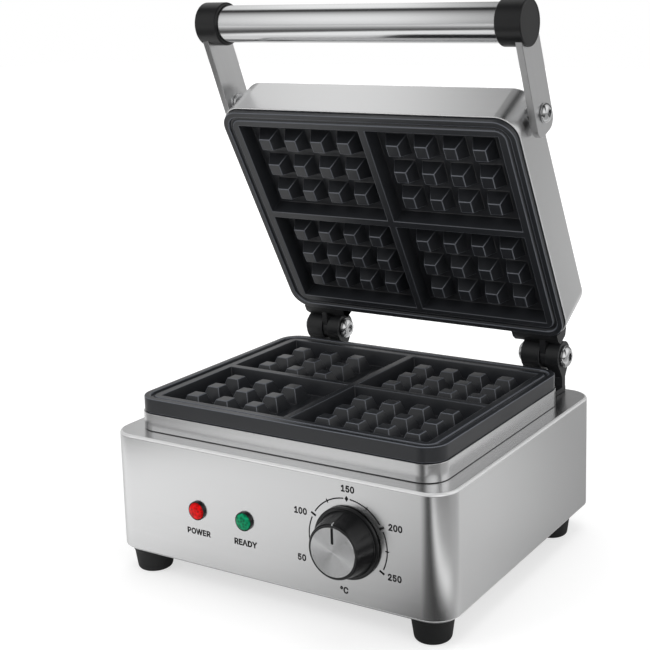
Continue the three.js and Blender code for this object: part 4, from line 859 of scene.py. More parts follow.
def make_finishes(finishes):
    """Builds the shared groups and every finish, named for what it covers."""
    GROUPS["brushing"] = make_brushing_group()
    GROUPS["grain"] = make_grain_group()
    lid_turn = (-LID_TURN, 0, 0)
    handle_turn = (-HANDLE_TURN, 0, 0)
    knob = JOINTS["knob_turn"]["pos_m"]
    steel, roughness = finishes.steel, finishes.steel_roughness
    FINISHES.update(
        base_steel=brushed("Base steel", steel, roughness, "X"),
        lid_steel=brushed("Lid steel", steel, roughness, "X", lid_turn),
        # Arm steel, with painted shade on the arms' narrow faces
        arm_steel=brushed(
            "Arm steel", finishes.arm, roughness=0.34, along="Y", turn=handle_turn, narrow_shade=NARROW_SHADE
        ),
        grip_steel=brushed(
            "Grip steel", finishes.polish, roughness=0.15, along="X", streaks=0.05, relief=GRIP_RELIEF
        ),
        inner_sheet=brushed("Inner sheet", finishes.inner, roughness=0.45, along="Y"),
        copper=brushed("Copper", finishes.copper, roughness=0.3, along="X"),
        aluminium=spun("Spun aluminium", finishes.aluminium, roughness=0.22, centre=knob),
        chrome=grained(
            "Chrome", finishes.chrome, roughness=0.11, fineness=1800, relief=PLATED_RELIEF, clouds=0.08,
            metallic=1,
        ),
        # Plate coating, with painted highlights on its rounded edges
        coating=grained(
            "Plate coating", finishes.coating, roughness=0.34, fineness=2300, relief=CAST_RELIEF,
            clouds=0.35, edge=5.5, Specular_IOR_Level=0.65,
        ),
        # Hinge paint, with painted highlights on its rounded edges
        hinge_paint=grained(
            "Hinge paint", finishes.hinge, roughness=0.42, fineness=2600, relief=CAST_RELIEF, clouds=0.2,
            edge=2,
        ),
        dial_plastic=grained(
            "Dial plastic", finishes.plastic, roughness=0.22, fineness=3000, relief=SMOOTH_RELIEF,
            clouds=0.1,
        ),
        cap_plastic=grained(
            "Cap plastic", finishes.plastic, roughness=0.34, fineness=2800, relief=MOULDED_RELIEF,
            clouds=0.15,
        ),
        rubber=grained(
            "Rubber", finishes.rubber, roughness=0.62, fineness=2200, relief=CAST_RELIEF, clouds=0.25
        ),
        ink=grained(
            "Ink", finishes.ink, roughness=0.7, fineness=4000, relief=PLATED_RELIEF, clouds=0.1,
            Specular_IOR_Level=0.2,
        ),
        sheath=grained(
            "Heater sheath", finishes.sheath, roughness=0.5, fineness=1500, relief=CAST_RELIEF,
            clouds=0.4, metallic=0.9,
        ),
        insulator=grained(
            "Insulator", finishes.insulator, roughness=0.6, fineness=1800, relief=MOULDED_RELIEF,
            clouds=0.2,
        ),
        red=lens("Red lens", finishes.red),
        green=lens("Green lens", finishes.green),
    )


# The finish of each material slot
SLOT_FINISHES = {
    "casing_steel": "base_steel",
    "inner_sheet": "inner_sheet",
    "handle_steel": "grip_steel",
    "arm_steel": "arm_steel",
    "fastener_chrome": "chrome",
    "plate_casting": "coating",
    "hinge_black": "hinge_paint",
    "control_black": "dial_plastic",
    "cap_aluminium": "aluminium",
    "foot_rubber": "rubber",
    "heater_sheath": "sheath",
    "copper": "copper",
    "insulator": "insulator",
    "lens_red": "red",
    "lens_green": "green",
}


# Sheet parts
SHAFT_HOLE_SHARE = 1 / 3  # of the radius of the dial's cap
LEAD_HOLE_SHARE = 1 / 3  # of the width of the grommet


def folded_pan(name, low, high, corner, bend, sheet, lip=0.0, lip_bend=0.0, edge=0.0):
    """A pan of sheet with its mouth down, round corners, a fold round its top and a lip round its mouth."""
    pan = block(name, low, high)
    shape(pan, "EDGE", upright, bevel(corner, CORNER_STEPS))
    shape(pan, "EDGE", at_level(high.z), bevel(bend, FOLD_STEPS))
    if lip:
        shape(pan, "EDGE", at_level(low.z), bevel(lip_bend, FOLD_STEPS))
        shape(pan, "FACE", facing_down, inset(lip - lip_bend), delete("FACE"))
    else:
        shape(pan, "FACE", facing_down, delete("FACE"))
    modify(pan, "SOLIDIFY", thickness=sheet, offset=-1, use_even_offset=True)
    return round_edges(pan, edge, 2)


def opening_tool(low, high, corner):
    """A cutting block with round upright corners."""
    return shape(block("opening_tool", low, high), "EDGE", upright, bevel(corner, CORNER_STEPS))


class WAFFLE_OT_base_casing(bpy.types.Operator):
    """Folds the base casing with its opening and holes, and the collar round the lower plate"""

    bl_idname = "waffle.base_casing"
    bl_label = "Base casing and collar"

    def execute(self, context):
        sizes = context.scene.waffle_casing
        self.casing(sizes, context.scene.waffle_panel)
        self.collar(sizes)
        return {"FINISHED"}

    def casing(self, sizes, panel):
        """The folded pan, with its opening under the plate, its lamp holes and a hole for the shaft."""
        low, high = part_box("base_casing")
        casing = folded_pan(
            "base_shell", low, high, sizes.corner, sizes.bend, sizes.sheet,
            sizes.lip, sizes.foot_bend, sizes.rim_edge,
        )
        plate_low, plate_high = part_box("lower_plate")
        ledge = Vector((sizes.ledge, sizes.ledge))
        tools = [
            opening_tool(
                (*(plate_low.xy + ledge), high.z - OVERRUN), (*(plate_high.xy - ledge), high.z + OVERRUN),
                sizes.opening_corner,
            )
        ]
        for node in ("lamp_body_red", "lamp_body_green"):
            body_low, body_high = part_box(node)
            middle = middle_of(node)
            radius = (body_high.x - body_low.x) / 2
            tools.append(rod("lamp_hole", radius, -OVERRUN, OVERRUN, on_panel(middle.x, middle.z)))
        knob_place = Matrix.Translation(Vector(JOINTS["knob_turn"]["pos_m"])) @ TO_FRONT
        tools.append(rod("shaft_hole", panel.cap * SHAFT_HOLE_SHARE, -OVERRUN, OVERRUN, knob_place))
        worn(combine(casing, "DIFFERENCE", *tools), sizes.sheet)
        finish(casing, "base", "casing_steel", "base_casing")

    def collar(self, sizes):
        """The upright band that carries the lower plate."""
        collar = block("collar_band", *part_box("plate_collar"))
        shape(collar, "EDGE", upright, bevel(sizes.collar_corner, CORNER_STEPS))
        shape(collar, "FACE", lambda centre, normal: abs(normal.z) > FACING_SHARE, delete("FACE"))
        modify(collar, "SOLIDIFY", thickness=sizes.sheet, offset=-1, use_even_offset=True)
        round_edges(collar, sizes.collar_rim)
        finish(collar, "base", "casing_steel", "plate_collar")


class WAFFLE_OT_lid_casing(bpy.types.Operator):
    """Folds the lid casing in the lid's own frame and opens it with the lid"""

    bl_idname = "waffle.lid_casing"
    bl_label = "Lid casing"

    def execute(self, context):
        sizes = context.scene.waffle_casing
        handle = context.scene.waffle_handle
        low, high = local_box("lid_casing", LID)
        casing = folded_pan(
            "lid_shell", low, high, sizes.lid_corner, sizes.lid_bend, sizes.lid_sheet, edge=sizes.rim_edge
        )
        pivot = LID.inverted() @ PIVOT
        for side in (low.x, high.x):
            place = Matrix.Translation((side, pivot.y, pivot.z)) @ TO_RIGHT
            combine(casing, "DIFFERENCE", rod("screw_hole", handle.screw, -OVERRUN, OVERRUN, place))
        grommet_low, grommet_high = local_box("lead_grommet_lid", LID)
        lead = (grommet_low + grommet_high) / 2
        neck = (grommet_high.x - grommet_low.x) * LEAD_HOLE_SHARE
        place = Matrix.Translation((lead.x, high.y, lead.z)) @ TO_BACK
        combine(casing, "DIFFERENCE", rod("lead_hole", neck, -OVERRUN, OVERRUN, place))
        put(worn(casing, sizes.sheet), LID)
        finish(casing, "lid", "casing_steel", "lid_casing", coat="lid_steel")
        return {"FINISHED"}


# Cooking plates
def peg_places(first, count, pitch):
    """Middles of a row of pegs."""
    return [first + index * pitch for index in range(count)]


def looking_up_at(height):
    """A test for faces that look up at one height."""
    return lambda centre, normal: normal.z > FACING_SHARE and abs(centre.z - height) < NEAR


def near_any(value, places):
    """True where a value is one of the places."""
    return any(abs(value - place) < NEAR for place in places)


def on_side(test, side):
    """A test narrowed to the left or the right half."""
    return lambda centre, normal: test(centre, normal) and centre.x * side > 0


def cooking_plate(name, sizes, width, depth, thickness, left_columns, left_pitch):
    """A cast plate in its own frame: the rim lies at z = 0, the body below it."""
    plate = block(name, (-width / 2, -depth / 2, -sizes.flange), (width / 2, depth / 2, 0))
    shape(plate, "EDGE", upright, bevel(sizes.corner, CORNER_STEPS))
    shape(plate, "FACE", facing_down, inset(sizes.spigot_inset), push((0, 0, sizes.flange - thickness)))
    shape(
        plate, "FACE", facing_up,
        inset(sizes.groove_from_edge),
        inset(sizes.groove_slope, -sizes.groove_depth),
        inset(sizes.groove_width - 2 * sizes.groove_slope),
        inset(sizes.groove_slope, sizes.groove_depth - sizes.land_drop),
    )
    half_rib = Vector((sizes.rib, sizes.rib)) / 2
    cavity = Vector((width / 2 - sizes.side_margin, depth / 2 - sizes.end_margin)) - half_rib
    middle = half_rib + cavity / 2
    sink_cavities(plate, sizes, cavity, middle)
    for side, count, pitch in ((-1, left_columns, left_pitch), (1, sizes.columns, sizes.peg_pitch)):
        first = side * middle.x - (sizes.columns - 1) / 2 * sizes.peg_pitch
        raise_pegs(plate, sizes, side, peg_places(first, count, pitch), middle.y)
    return worn(round_edges(plate, sizes.rounding), sizes.rounding)


def sink_cavities(plate, sizes, cavity, middle):
    """Marks the four cavities out on the land between the ribs and sinks them."""
    land = looking_up_at(-sizes.land_drop)
    for sign in (-1, 1):
        for axis, reach in ((RIGHT, cavity.x), (BACK, cavity.y)):
            for place in (sizes.rib / 2, sizes.rib / 2 + reach):
                shape(plate, "FACE", land, slice_at(sign * place * axis, axis))
    shape(
        plate, "FACE",
        lambda centre, normal: land(centre, normal)
        and abs(abs(centre.x) - middle.x) < NEAR and abs(abs(centre.y) - middle.y) < NEAR,
        inset(sizes.draft, sizes.land_drop - sizes.cavity_depth, each=True),
    )


def raise_pegs(plate, sizes, side, columns, middle_y):
    """Marks the pegs out on the floors of one side's two cavities and raises them."""
    reach = (sizes.rows - 1) / 2 * sizes.peg_pitch
    rows = [
        place
        for sign in (-1, 1)
        for place in peg_places(sign * middle_y - reach, sizes.rows, sizes.peg_pitch)
    ]
    floor = on_side(looking_up_at(-sizes.cavity_depth), side)
    for edge in (-sizes.peg_base / 2, sizes.peg_base / 2):
        for axis, places in ((RIGHT, columns), (BACK, rows)):
            for place in places:
                shape(plate, "FACE", floor, slice_at((place + edge) * axis, axis))
    shape(
        plate, "FACE",
        lambda centre, normal: floor(centre, normal)
        and near_any(centre.x, columns) and near_any(centre.y, rows),
        inset((sizes.peg_base - sizes.peg_top) / 2, sizes.peg_height, each=True),
    )


class WAFFLE_OT_plates(bpy.types.Operator):
    """Casts the two cooking plates with their grooves, ribs and pegs"""

    bl_idname = "waffle.plates"
    bl_label = "Cooking plates"

    def execute(self, context):
        sizes = context.scene.waffle_plate
        low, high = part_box("lower_plate")
        width, depth, thickness = high - low
        fewer = sizes.columns - sizes.sparse
        lower = cooking_plate(
            "lower_casting", sizes, width, depth, thickness, fewer, sizes.sparse_pitch
        )
        put(lower, Matrix.Translation(((low.x + high.x) / 2, (low.y + high.y) / 2, high.z)))
        finish(lower, "base", "plate_casting", "lower_plate")
        low, high = local_box("upper_plate", LID)
        upper = cooking_plate(
            "upper_casting", sizes, width, depth, thickness, sizes.columns, sizes.peg_pitch
        )
        put(upper, LID @ Matrix.Translation(((low.x + high.x) / 2, (low.y + high.y) / 2, low.z)) @ OVER)
        finish(upper, "lid", "plate_casting", "upper_plate")
        return {"FINISHED"}


# Fasteners
HEAD_EDGE = 0.0003
# Outline of a domed head, from its seat to its top, as shares of its radius and its height
HEAD_SHARES = ((1, 0), (1, 0.22), (0.97, 0.42), (0.90, 0.62), (0.80, 0.79), (0.68, 0.91), (0.56, 1))


def domed_screw(name, place, head, height, shank=(), socket=0.0, socket_depth=0.0):
    """A screw with a domed head on z = 0. Its shank is given as (radius, height) pairs from the tip."""
    profile = [(0, shank[0][1]), *shank] if shank else [(0, 0)]
    profile += [(head * across, height * up) for across, up in HEAD_SHARES]
    screw = turned(name, [*profile, (0, height)])
    round_edges(screw, HEAD_EDGE, 2)
    if socket:
        tool = rod("socket_tool", socket, height - socket_depth, height + OVERRUN, sides=HEX)
        combine(screw, "DIFFERENCE", tool)
        round_edges(screw, HEAD_EDGE / 3, 1)
    return put(screw, place)


# How far the bracket's foot reaches behind the axis, as a share of the leg's thickness
FOOT_BACK_SHARE = 0.6


class WAFFLE_OT_hinges(bpy.types.Operator):
    """Makes the hinge brackets, lid lugs, pins, cap nuts and bracket screws"""

    bl_idname = "waffle.hinges"
    bl_label = "Hinges"

    def execute(self, context):
        sizes = context.scene.waffle_hinge
        for side, inner in (("left", 1), ("right", -1)):
            self.bracket(sizes, side)
            self.lug(sizes, side, inner)
            self.fasteners(sizes, side)
        return {"FINISHED"}

    def bracket(self, sizes, side):
        """A foot, a leg and two barrels with a slot between them."""
        node = f"hinge_bracket_{side}"
        low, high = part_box(node)
        axis = Matrix.Translation((low.x, LID_AXIS.y, LID_AXIS.z))
        drop, front, back = low.z - LID_AXIS.z, low.y - LID_AXIS.y, sizes.leg * FOOT_BACK_SHARE
        half = sizes.leg / 2
        lean = 90 - math.degrees(math.acos(sizes.barrel / sizes.neck))
        outline = [
            (back, drop), (back, drop + sizes.foot), (half, drop + sizes.foot), (half, -sizes.neck),
            *arc(sizes.barrel, -lean, 180 + lean, 3 * CORNER_STEPS),
            (-half, -sizes.neck), (-half, drop + sizes.foot), (front, drop + sizes.foot), (front, drop),
        ]
        bracket = outlined(f"bracket_{side}", outline, high.x - low.x, axis @ ACROSS)
        slot_start = low.x + sizes.left_barrel
        slot = block(
            "slot_tool", (slot_start, low.y - OVERRUN, LID_AXIS.z - sizes.slot_floor),
            (slot_start + sizes.slot, high.y + OVERRUN, high.z + OVERRUN),
        )
        reach = high.x - low.x + OVERRUN
        combine(bracket, "DIFFERENCE", slot, rod("bore_tool", sizes.pin, -OVERRUN, reach, axis @ TO_RIGHT))
        worn(round_edges(bracket, sizes.rounding), sizes.rounding)
        finish(bracket, "base", "hinge_black", node)

    def lug(self, sizes, side, inner):
        """A block behind the upper plate, slanted on its inner side, with a tongue round the pin."""
        node = f"hinge_lug_{side}"
        low, high = local_box(node, LID)
        bracket_low, bracket_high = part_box(f"hinge_bracket_{side}")
        plate_side, top = low.y, high.z
        bottom = local_box("upper_plate", LID)[0].z + sizes.rim
        wall = local_box("lid_casing", LID)[1].y + sizes.seat
        lip = local_box("lid_casing", LID)[0].z - sizes.seat
        outline = [
            (plate_side, bottom), (-sizes.lug_to_axis - sizes.lug_chamfer, bottom),
            (-sizes.lug_to_axis, bottom + sizes.lug_chamfer / 2),
            (-sizes.lug_to_axis, top - sizes.lug_chamfer),
            (-sizes.lug_to_axis - sizes.lug_chamfer, top), (wall, top), (wall, lip), (plate_side, lip),
        ]
        lug = outlined(
            f"lug_{side}", outline, high.x - low.x, Matrix.Translation((low.x, 0, 0)) @ ACROSS
        )
        inner_end = bracket_high.x if inner > 0 else bracket_low.x
        slant = (inner * abs(wall + sizes.lug_to_axis), sizes.lug_flare, 0)
        corner = (inner_end, -sizes.lug_to_axis, 0)
        shape(lug, "FACE", everything, slice_at(corner, slant, use_fill=True, clear_outer=True))
        slot_start = bracket_low.x + sizes.left_barrel + sizes.tongue_room
        thickness = sizes.slot - 2 * sizes.tongue_room
        across = Matrix.Translation((slot_start, 0, 0)) @ TO_RIGHT
        tongue = rod("tongue", sizes.tongue, 0, thickness, across)
        root = -sizes.lug_to_axis - sizes.lug_chamfer
        web_outline = [(root, bottom), (0, -sizes.tongue), (0, sizes.tongue), (root, sizes.tongue)]
        web = outlined("web", web_outline, thickness, Matrix.Translation((slot_start, 0, 0)) @ ACROSS)
        combine(lug, "UNION", tongue, web)
        bore = rod("bore_tool", sizes.pin, -OVERRUN, OVERRUN + thickness, across)
        combine(lug, "DIFFERENCE", bore)
        worn(round_edges(lug, sizes.rounding), sizes.rounding)
        put(lug, LID)
        finish(lug, "lid", "hinge_black", node)

    def fasteners(self, sizes, side):
        """The hinge pin, its cap nut and the two screws of the bracket."""
        low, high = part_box(f"hinge_pin_{side}")
        bracket_low, bracket_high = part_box(f"hinge_bracket_{side}")
        axis = LID_AXIS.yz
        seat = bracket_high.x + sizes.seat
        head, height = (high.z - low.z) / 2, high.x - seat
        shank = [(sizes.pin, low.x - seat), (sizes.pin, 0)]
        pin = domed_screw(
            f"pin_{side}", Matrix.Translation((seat, *axis)) @ TO_RIGHT, head, height, shank,
            sizes.socket, sizes.socket_depth,
        )
        finish(pin, "base", "fastener_chrome", f"hinge_pin_{side}")
        low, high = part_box(f"hinge_cap_nut_{side}")
        place = Matrix.Translation((high.x, *axis)) @ TO_LEFT
        nut = domed_screw(f"cap_nut_{side}", place, (high.z - low.z) / 2, high.x - low.x)
        finish(nut, "base", "fastener_chrome", f"hinge_cap_nut_{side}")
        for end in "ab":
            node = f"bracket_screw_{side}_{end}"
            low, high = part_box(node)
            seat = bracket_low.z + sizes.foot + sizes.seat
            shank = [(sizes.fixing, low.z - seat), (sizes.fixing, 0)]
            screw = domed_screw(
                f"bracket_fixing_{side}_{end}", Matrix.Translation((*middle_of(node).xy, seat)),
                (high.x - low.x) / 2, high.z - seat, shank, sizes.socket / 2, sizes.socket_depth / 2,
            )
            finish(screw, "base", "fastener_chrome", node)


# The end cap's outer face: where its raised rim begins and ends and how deep it lies, in shares of its edge
CAP_RIM_SHARE = 1.1
CAP_FIELD_SHARE = 1.4
CAP_FIELD_DEPTH_SHARE = 1 / 6


class WAFFLE_OT_handle(bpy.types.Operator):
    """Makes the grip tube, the arms, the end caps and the pivot screws"""

    bl_idname = "waffle.handle"
    bl_label = "Handle"

    def execute(self, context):
        sizes = context.scene.waffle_handle
        low, high = local_box("handle_tube", HANDLE)
        axis_y = (low.y + high.y) / 2
        radius = (high.z - low.z) / 2
        inner = radius - sizes.wall
        start, end = low.x, high.x
        place = HANDLE @ Matrix.Translation((0, axis_y, 0)) @ TO_RIGHT
        tube = turned(
            "grip", [(inner, start), (radius, start), (radius, end), (inner, end), (inner, start)], place
        )
        round_edges(tube, sizes.arm_edge)
        finish(tube, "handle", "handle_steel", "handle_tube")
        for side, sign in (("left", -1), ("right", 1)):
            self.arm(sizes, side)
            self.cap(sizes, side, sign, radius, end, axis_y)
            self.screw(sizes, side, sign)
        return {"FINISHED"}

    def arm(self, sizes, side):
        """A flat bar with a hole for its pivot screw."""
        node = f"handle_arm_{side}"
        low, high = local_box(node, HANDLE)
        arm = block(f"arm_{side}", low, high)
        shape(
            arm, "EDGE",
            lambda start, end: (start - end).yz.length < NEAR and start.y > high.y - NEAR,
            bevel(sizes.arm_corner, CORNER_STEPS),
        )
        place = Matrix.Translation((low.x, 0, 0)) @ TO_RIGHT
        reach = high.x - low.x + OVERRUN
        combine(arm, "DIFFERENCE", rod("hole_tool", sizes.arm_hole, -OVERRUN, reach, place))
        round_edges(arm, sizes.arm_edge)
        put(arm, HANDLE)
        finish(arm, "handle", "arm_steel", node)

    def cap(self, sizes, side, sign, tube_radius, tube_end, axis_y):
        """A cap over one end of the tube and the top of its arm."""
        node = f"handle_cap_{side}"
        low, high = local_box(node, HANDLE)
        cap_low, cap_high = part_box(node)
        radius = min(high.z - low.z, cap_high.z - cap_low.z) / 2
        inner, outer = sorted((abs(low.x), abs(high.x)))
        bore = tube_radius + sizes.seat
        pocket = tube_end + sizes.seat
        edge = sizes.cap_edge
        field = outer - edge * CAP_FIELD_DEPTH_SHARE
        profile = [
            (0, pocket), (bore, pocket), (bore, inner),
            *arc(edge, -90, 0, EDGE_STEPS, (radius - edge, inner + edge)),
            *arc(edge / 2, 0, 90, EDGE_STEPS, (radius - edge / 2, outer - edge / 2)),
            (radius - edge * CAP_RIM_SHARE, outer), (radius - edge * CAP_FIELD_SHARE, field), (0, field),
        ]
        turn = TO_RIGHT if sign > 0 else TO_LEFT
        cap = turned(f"end_cap_{side}", profile, Matrix.Translation((0, axis_y, 0)) @ turn)
        arm_low, arm_high = local_box(f"handle_arm_{side}", HANDLE)
        room = Vector((sizes.seat, sizes.seat, sizes.seat))
        slot_low, slot_high = arm_low - room, arm_high + room
        slot_high.y = axis_y + radius + OVERRUN
        combine(cap, "DIFFERENCE", block("slot_tool", slot_low, slot_high))
        put(cap, HANDLE)
        finish(cap, "handle", "control_black", node, coat="cap_plastic")

    def screw(self, sizes, side, sign):
        """The pivot screw of one arm, with the washer behind it."""
        node = f"handle_pivot_screw_{side}"
        arm_low, arm_high = local_box(f"handle_arm_{side}", HANDLE)
        arm_inner, arm_outer = sorted((abs(arm_low.x), abs(arm_high.x)))
        lid_side = local_box("lid_casing", LID)[1].x
        seat = arm_outer + sizes.seat
        shank = [
            (sizes.screw, lid_side - sizes.screw_reach - seat), (sizes.screw, lid_side + sizes.seat - seat),
            (sizes.washer, lid_side + sizes.seat - seat), (sizes.washer, arm_inner - sizes.seat - seat),
            (sizes.screw, arm_inner - sizes.seat - seat), (sizes.screw, 0),
        ]
        pivot = LID.inverted() @ PIVOT
        turn = TO_RIGHT if sign > 0 else TO_LEFT
        place = LID @ Matrix.Translation((sign * seat, pivot.y, pivot.z)) @ turn
        screw = domed_screw(
            f"pivot_screw_{side}", place, sizes.screw_head, sizes.screw_head_height, shank,
            sizes.socket, sizes.socket_depth,
        )
        finish(screw, "lid", "fastener_chrome", node)


# Control panel
def on_panel(x, z):
    """A frame on the front of the casing whose x runs right, y up and z out of the panel."""
    return Matrix.Translation((x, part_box("base_casing")[0].y, z)) @ TO_FRONT


def dial_place():
    """The dial's frame on the panel."""
    knob = JOINTS["knob_turn"]["pos_m"]
    return on_panel(knob[0], knob[2])


# The dial's hollow, as a share of its cap's radius
HOLLOW_SHARE = 0.7
# Waist of the grip and reach of the inlaid mark, as shares of half the skirt's thickness
WAIST_SHARE = 1.6
INLAY_TOP_SHARE = 1.2
INLAY_FOOT_SHARE = 1.7
INLAY_DEPTH_SHARE = 3


class WAFFLE_OT_dial(bpy.types.Operator):
    """Makes the temperature dial, its metal cap and its pointer"""

    bl_idname = "waffle.dial"
    bl_label = "Temperature dial"

    def execute(self, context):
        sizes = context.scene.waffle_panel
        front = sizes.gap + sizes.dial_length
        self.grip(sizes, front)
        self.mark(sizes, front)
        self.cap(sizes, front - sizes.cap_seat)
        self.pointer(sizes, front - sizes.cap_seat + sizes.cap_thickness)
        return {"FINISHED"}

    def rib(self, name, outline, half_width):
        """A thin rib on the side of the grip, in line with the pointer."""
        return outlined(name, outline, 2 * half_width, Matrix.Translation((-half_width, 0, 0)) @ ACROSS)

    def grip(self, sizes, front):
        """The turned skirt and grip with a seat for the cap, and the ridge that carries the mark."""
        back = sizes.gap
        skirt_front = back + sizes.skirt_height
        step = sizes.skirt_height / 2
        hollow = sizes.cap * HOLLOW_SHARE
        floor = back + sizes.dial_length / 3
        seat = front - sizes.cap_seat
        profile = [
            (0, floor), (hollow, floor), (hollow, back),
            (sizes.skirt, back), (sizes.skirt, skirt_front),
            (sizes.skirt - step, skirt_front + step / 2), (sizes.neck + step / 2, skirt_front + step / 4),
            (sizes.neck, skirt_front + step),
            (sizes.neck - WAIST_SHARE * step, skirt_front + sizes.dial_length / 3),
            (sizes.crown + step, front - step), (sizes.crown, front),
            (sizes.cap + step / 4, front), (sizes.cap + step / 4, seat), (0, seat),
        ]
        body = turned("dial_grip", profile, steps=2 * TURN_STEPS)
        round_edges(body, step / 4, 2)
        ridge = [
            (sizes.crown - step / 2, front), (sizes.crown + step, front - step / 2),
            (sizes.neck + step / 2, skirt_front + step), (sizes.neck - 2 * step, skirt_front + step),
        ]
        body = joined(body, self.rib("ridge", ridge, sizes.pointer_width / 3))
        put(body, dial_place())
        finish(body, "control_knob", "control_black", "knob")

    def mark(self, sizes, front):
        """The pale inlay on the ridge."""
        step = sizes.skirt_height / 2
        inner, foot = sizes.crown - step / 2, front - INLAY_DEPTH_SHARE * step
        inlay = [
            (inner, front), (sizes.crown + INLAY_TOP_SHARE * step, front - step / 3),
            (sizes.crown + INLAY_FOOT_SHARE * step, foot), (inner, foot),
        ]
        mark = put(self.rib("dial_mark", inlay, sizes.pointer_width / 4), dial_place())
        finish(mark, "control_knob", "cap_aluminium")

    def cap(self, sizes, seat):
        """The round of spun metal on the front."""
        top = seat + sizes.cap_thickness
        profile = [(0, seat), (sizes.cap, seat), (sizes.cap, top), (0, top)]
        cap = turned("dial_cap", profile, steps=2 * TURN_STEPS)
        round_edges(cap, sizes.cap_thickness / 3)
        put(cap, dial_place())
        finish(cap, "control_knob", "cap_aluminium", "knob_cap")

    def pointer(self, sizes, top):
        """The printed bar on the cap."""
        half = sizes.pointer_width / 2
        bar = block(
            "dial_pointer", (-half, sizes.pointer_end, top - sizes.print_height),
            (half, sizes.cap - sizes.cap_thickness / 3, top + 3 * sizes.print_height),
        )
        round_edges(bar, sizes.print_height, 2)
        put(bar, dial_place())
        finish(bar, "control_knob", "control_black", coat="ink")


# The gap round a lamp's lens, as a share of how far its bezel stands out
LENS_GAP_SHARE = 1 / 5


class WAFFLE_OT_lamps(bpy.types.Operator):
    """Makes the bezels and lenses of the two lamps"""

    bl_idname = "waffle.lamps"
    bl_label = "Indicator lamps"

    def execute(self, context):
        sizes = context.scene.waffle_panel
        for name in ("red", "green"):
            middle = middle_of(f"lamp_bezel_{name}")
            place = on_panel(middle.x, middle.z)
            self.bezel(sizes, name, place)
            self.glass(sizes, name, place)
        return {"FINISHED"}

    def bezel(self, sizes, name, place):
        """A ring with a round rim."""
        bore = sizes.lens + (sizes.bezel - sizes.lens) * LENS_GAP_SHARE
        rounding = (sizes.bezel - bore) / 2
        rim = arc(rounding, 0, 180, RIM_STEPS, (bore + rounding, sizes.bezel_height - rounding))
        seat = sizes.print_height
        profile = [(bore, seat), (sizes.bezel, seat), *rim, (bore, seat)]
        bezel = turned(f"lamp_ring_{name}", profile, place)
        finish(bezel, "base", "control_black", f"lamp_bezel_{name}")

    def glass(self, sizes, name, place):
        """A low dome on a straight shoulder."""
        seat = sizes.print_height
        shoulder = sizes.lens_rise / 2
        profile = [
            (0, seat), (sizes.lens, seat), (sizes.lens, shoulder),
            *((sizes.lens * x, shoulder + (sizes.lens_rise - shoulder) * y)
              for x, y in arc(1, 0, 90, DOME_STEPS)[1:]),
        ]
        glass = turned(f"lamp_glass_{name}", profile, place)
        finish(glass, "base", f"lens_{name}", f"lamp_lens_{name}")


# How far each side of a letter's strokes is thickened, as a share of the letter size
BOLD_SHARE = 0.036
LETTER_SPACING_SHARE = 1.04
# Width of the letters, as shares of what the font gives them
NUMBER_WIDTH_SHARE = 0.93
WORD_WIDTH_SHARE = 1.03
# Half the width of the ticks, as shares of the scale's line
MAIN_TICK_SHARE = 0.85
FINE_TICK_SHARE = 0.45
ARC_STEP = math.radians(3)


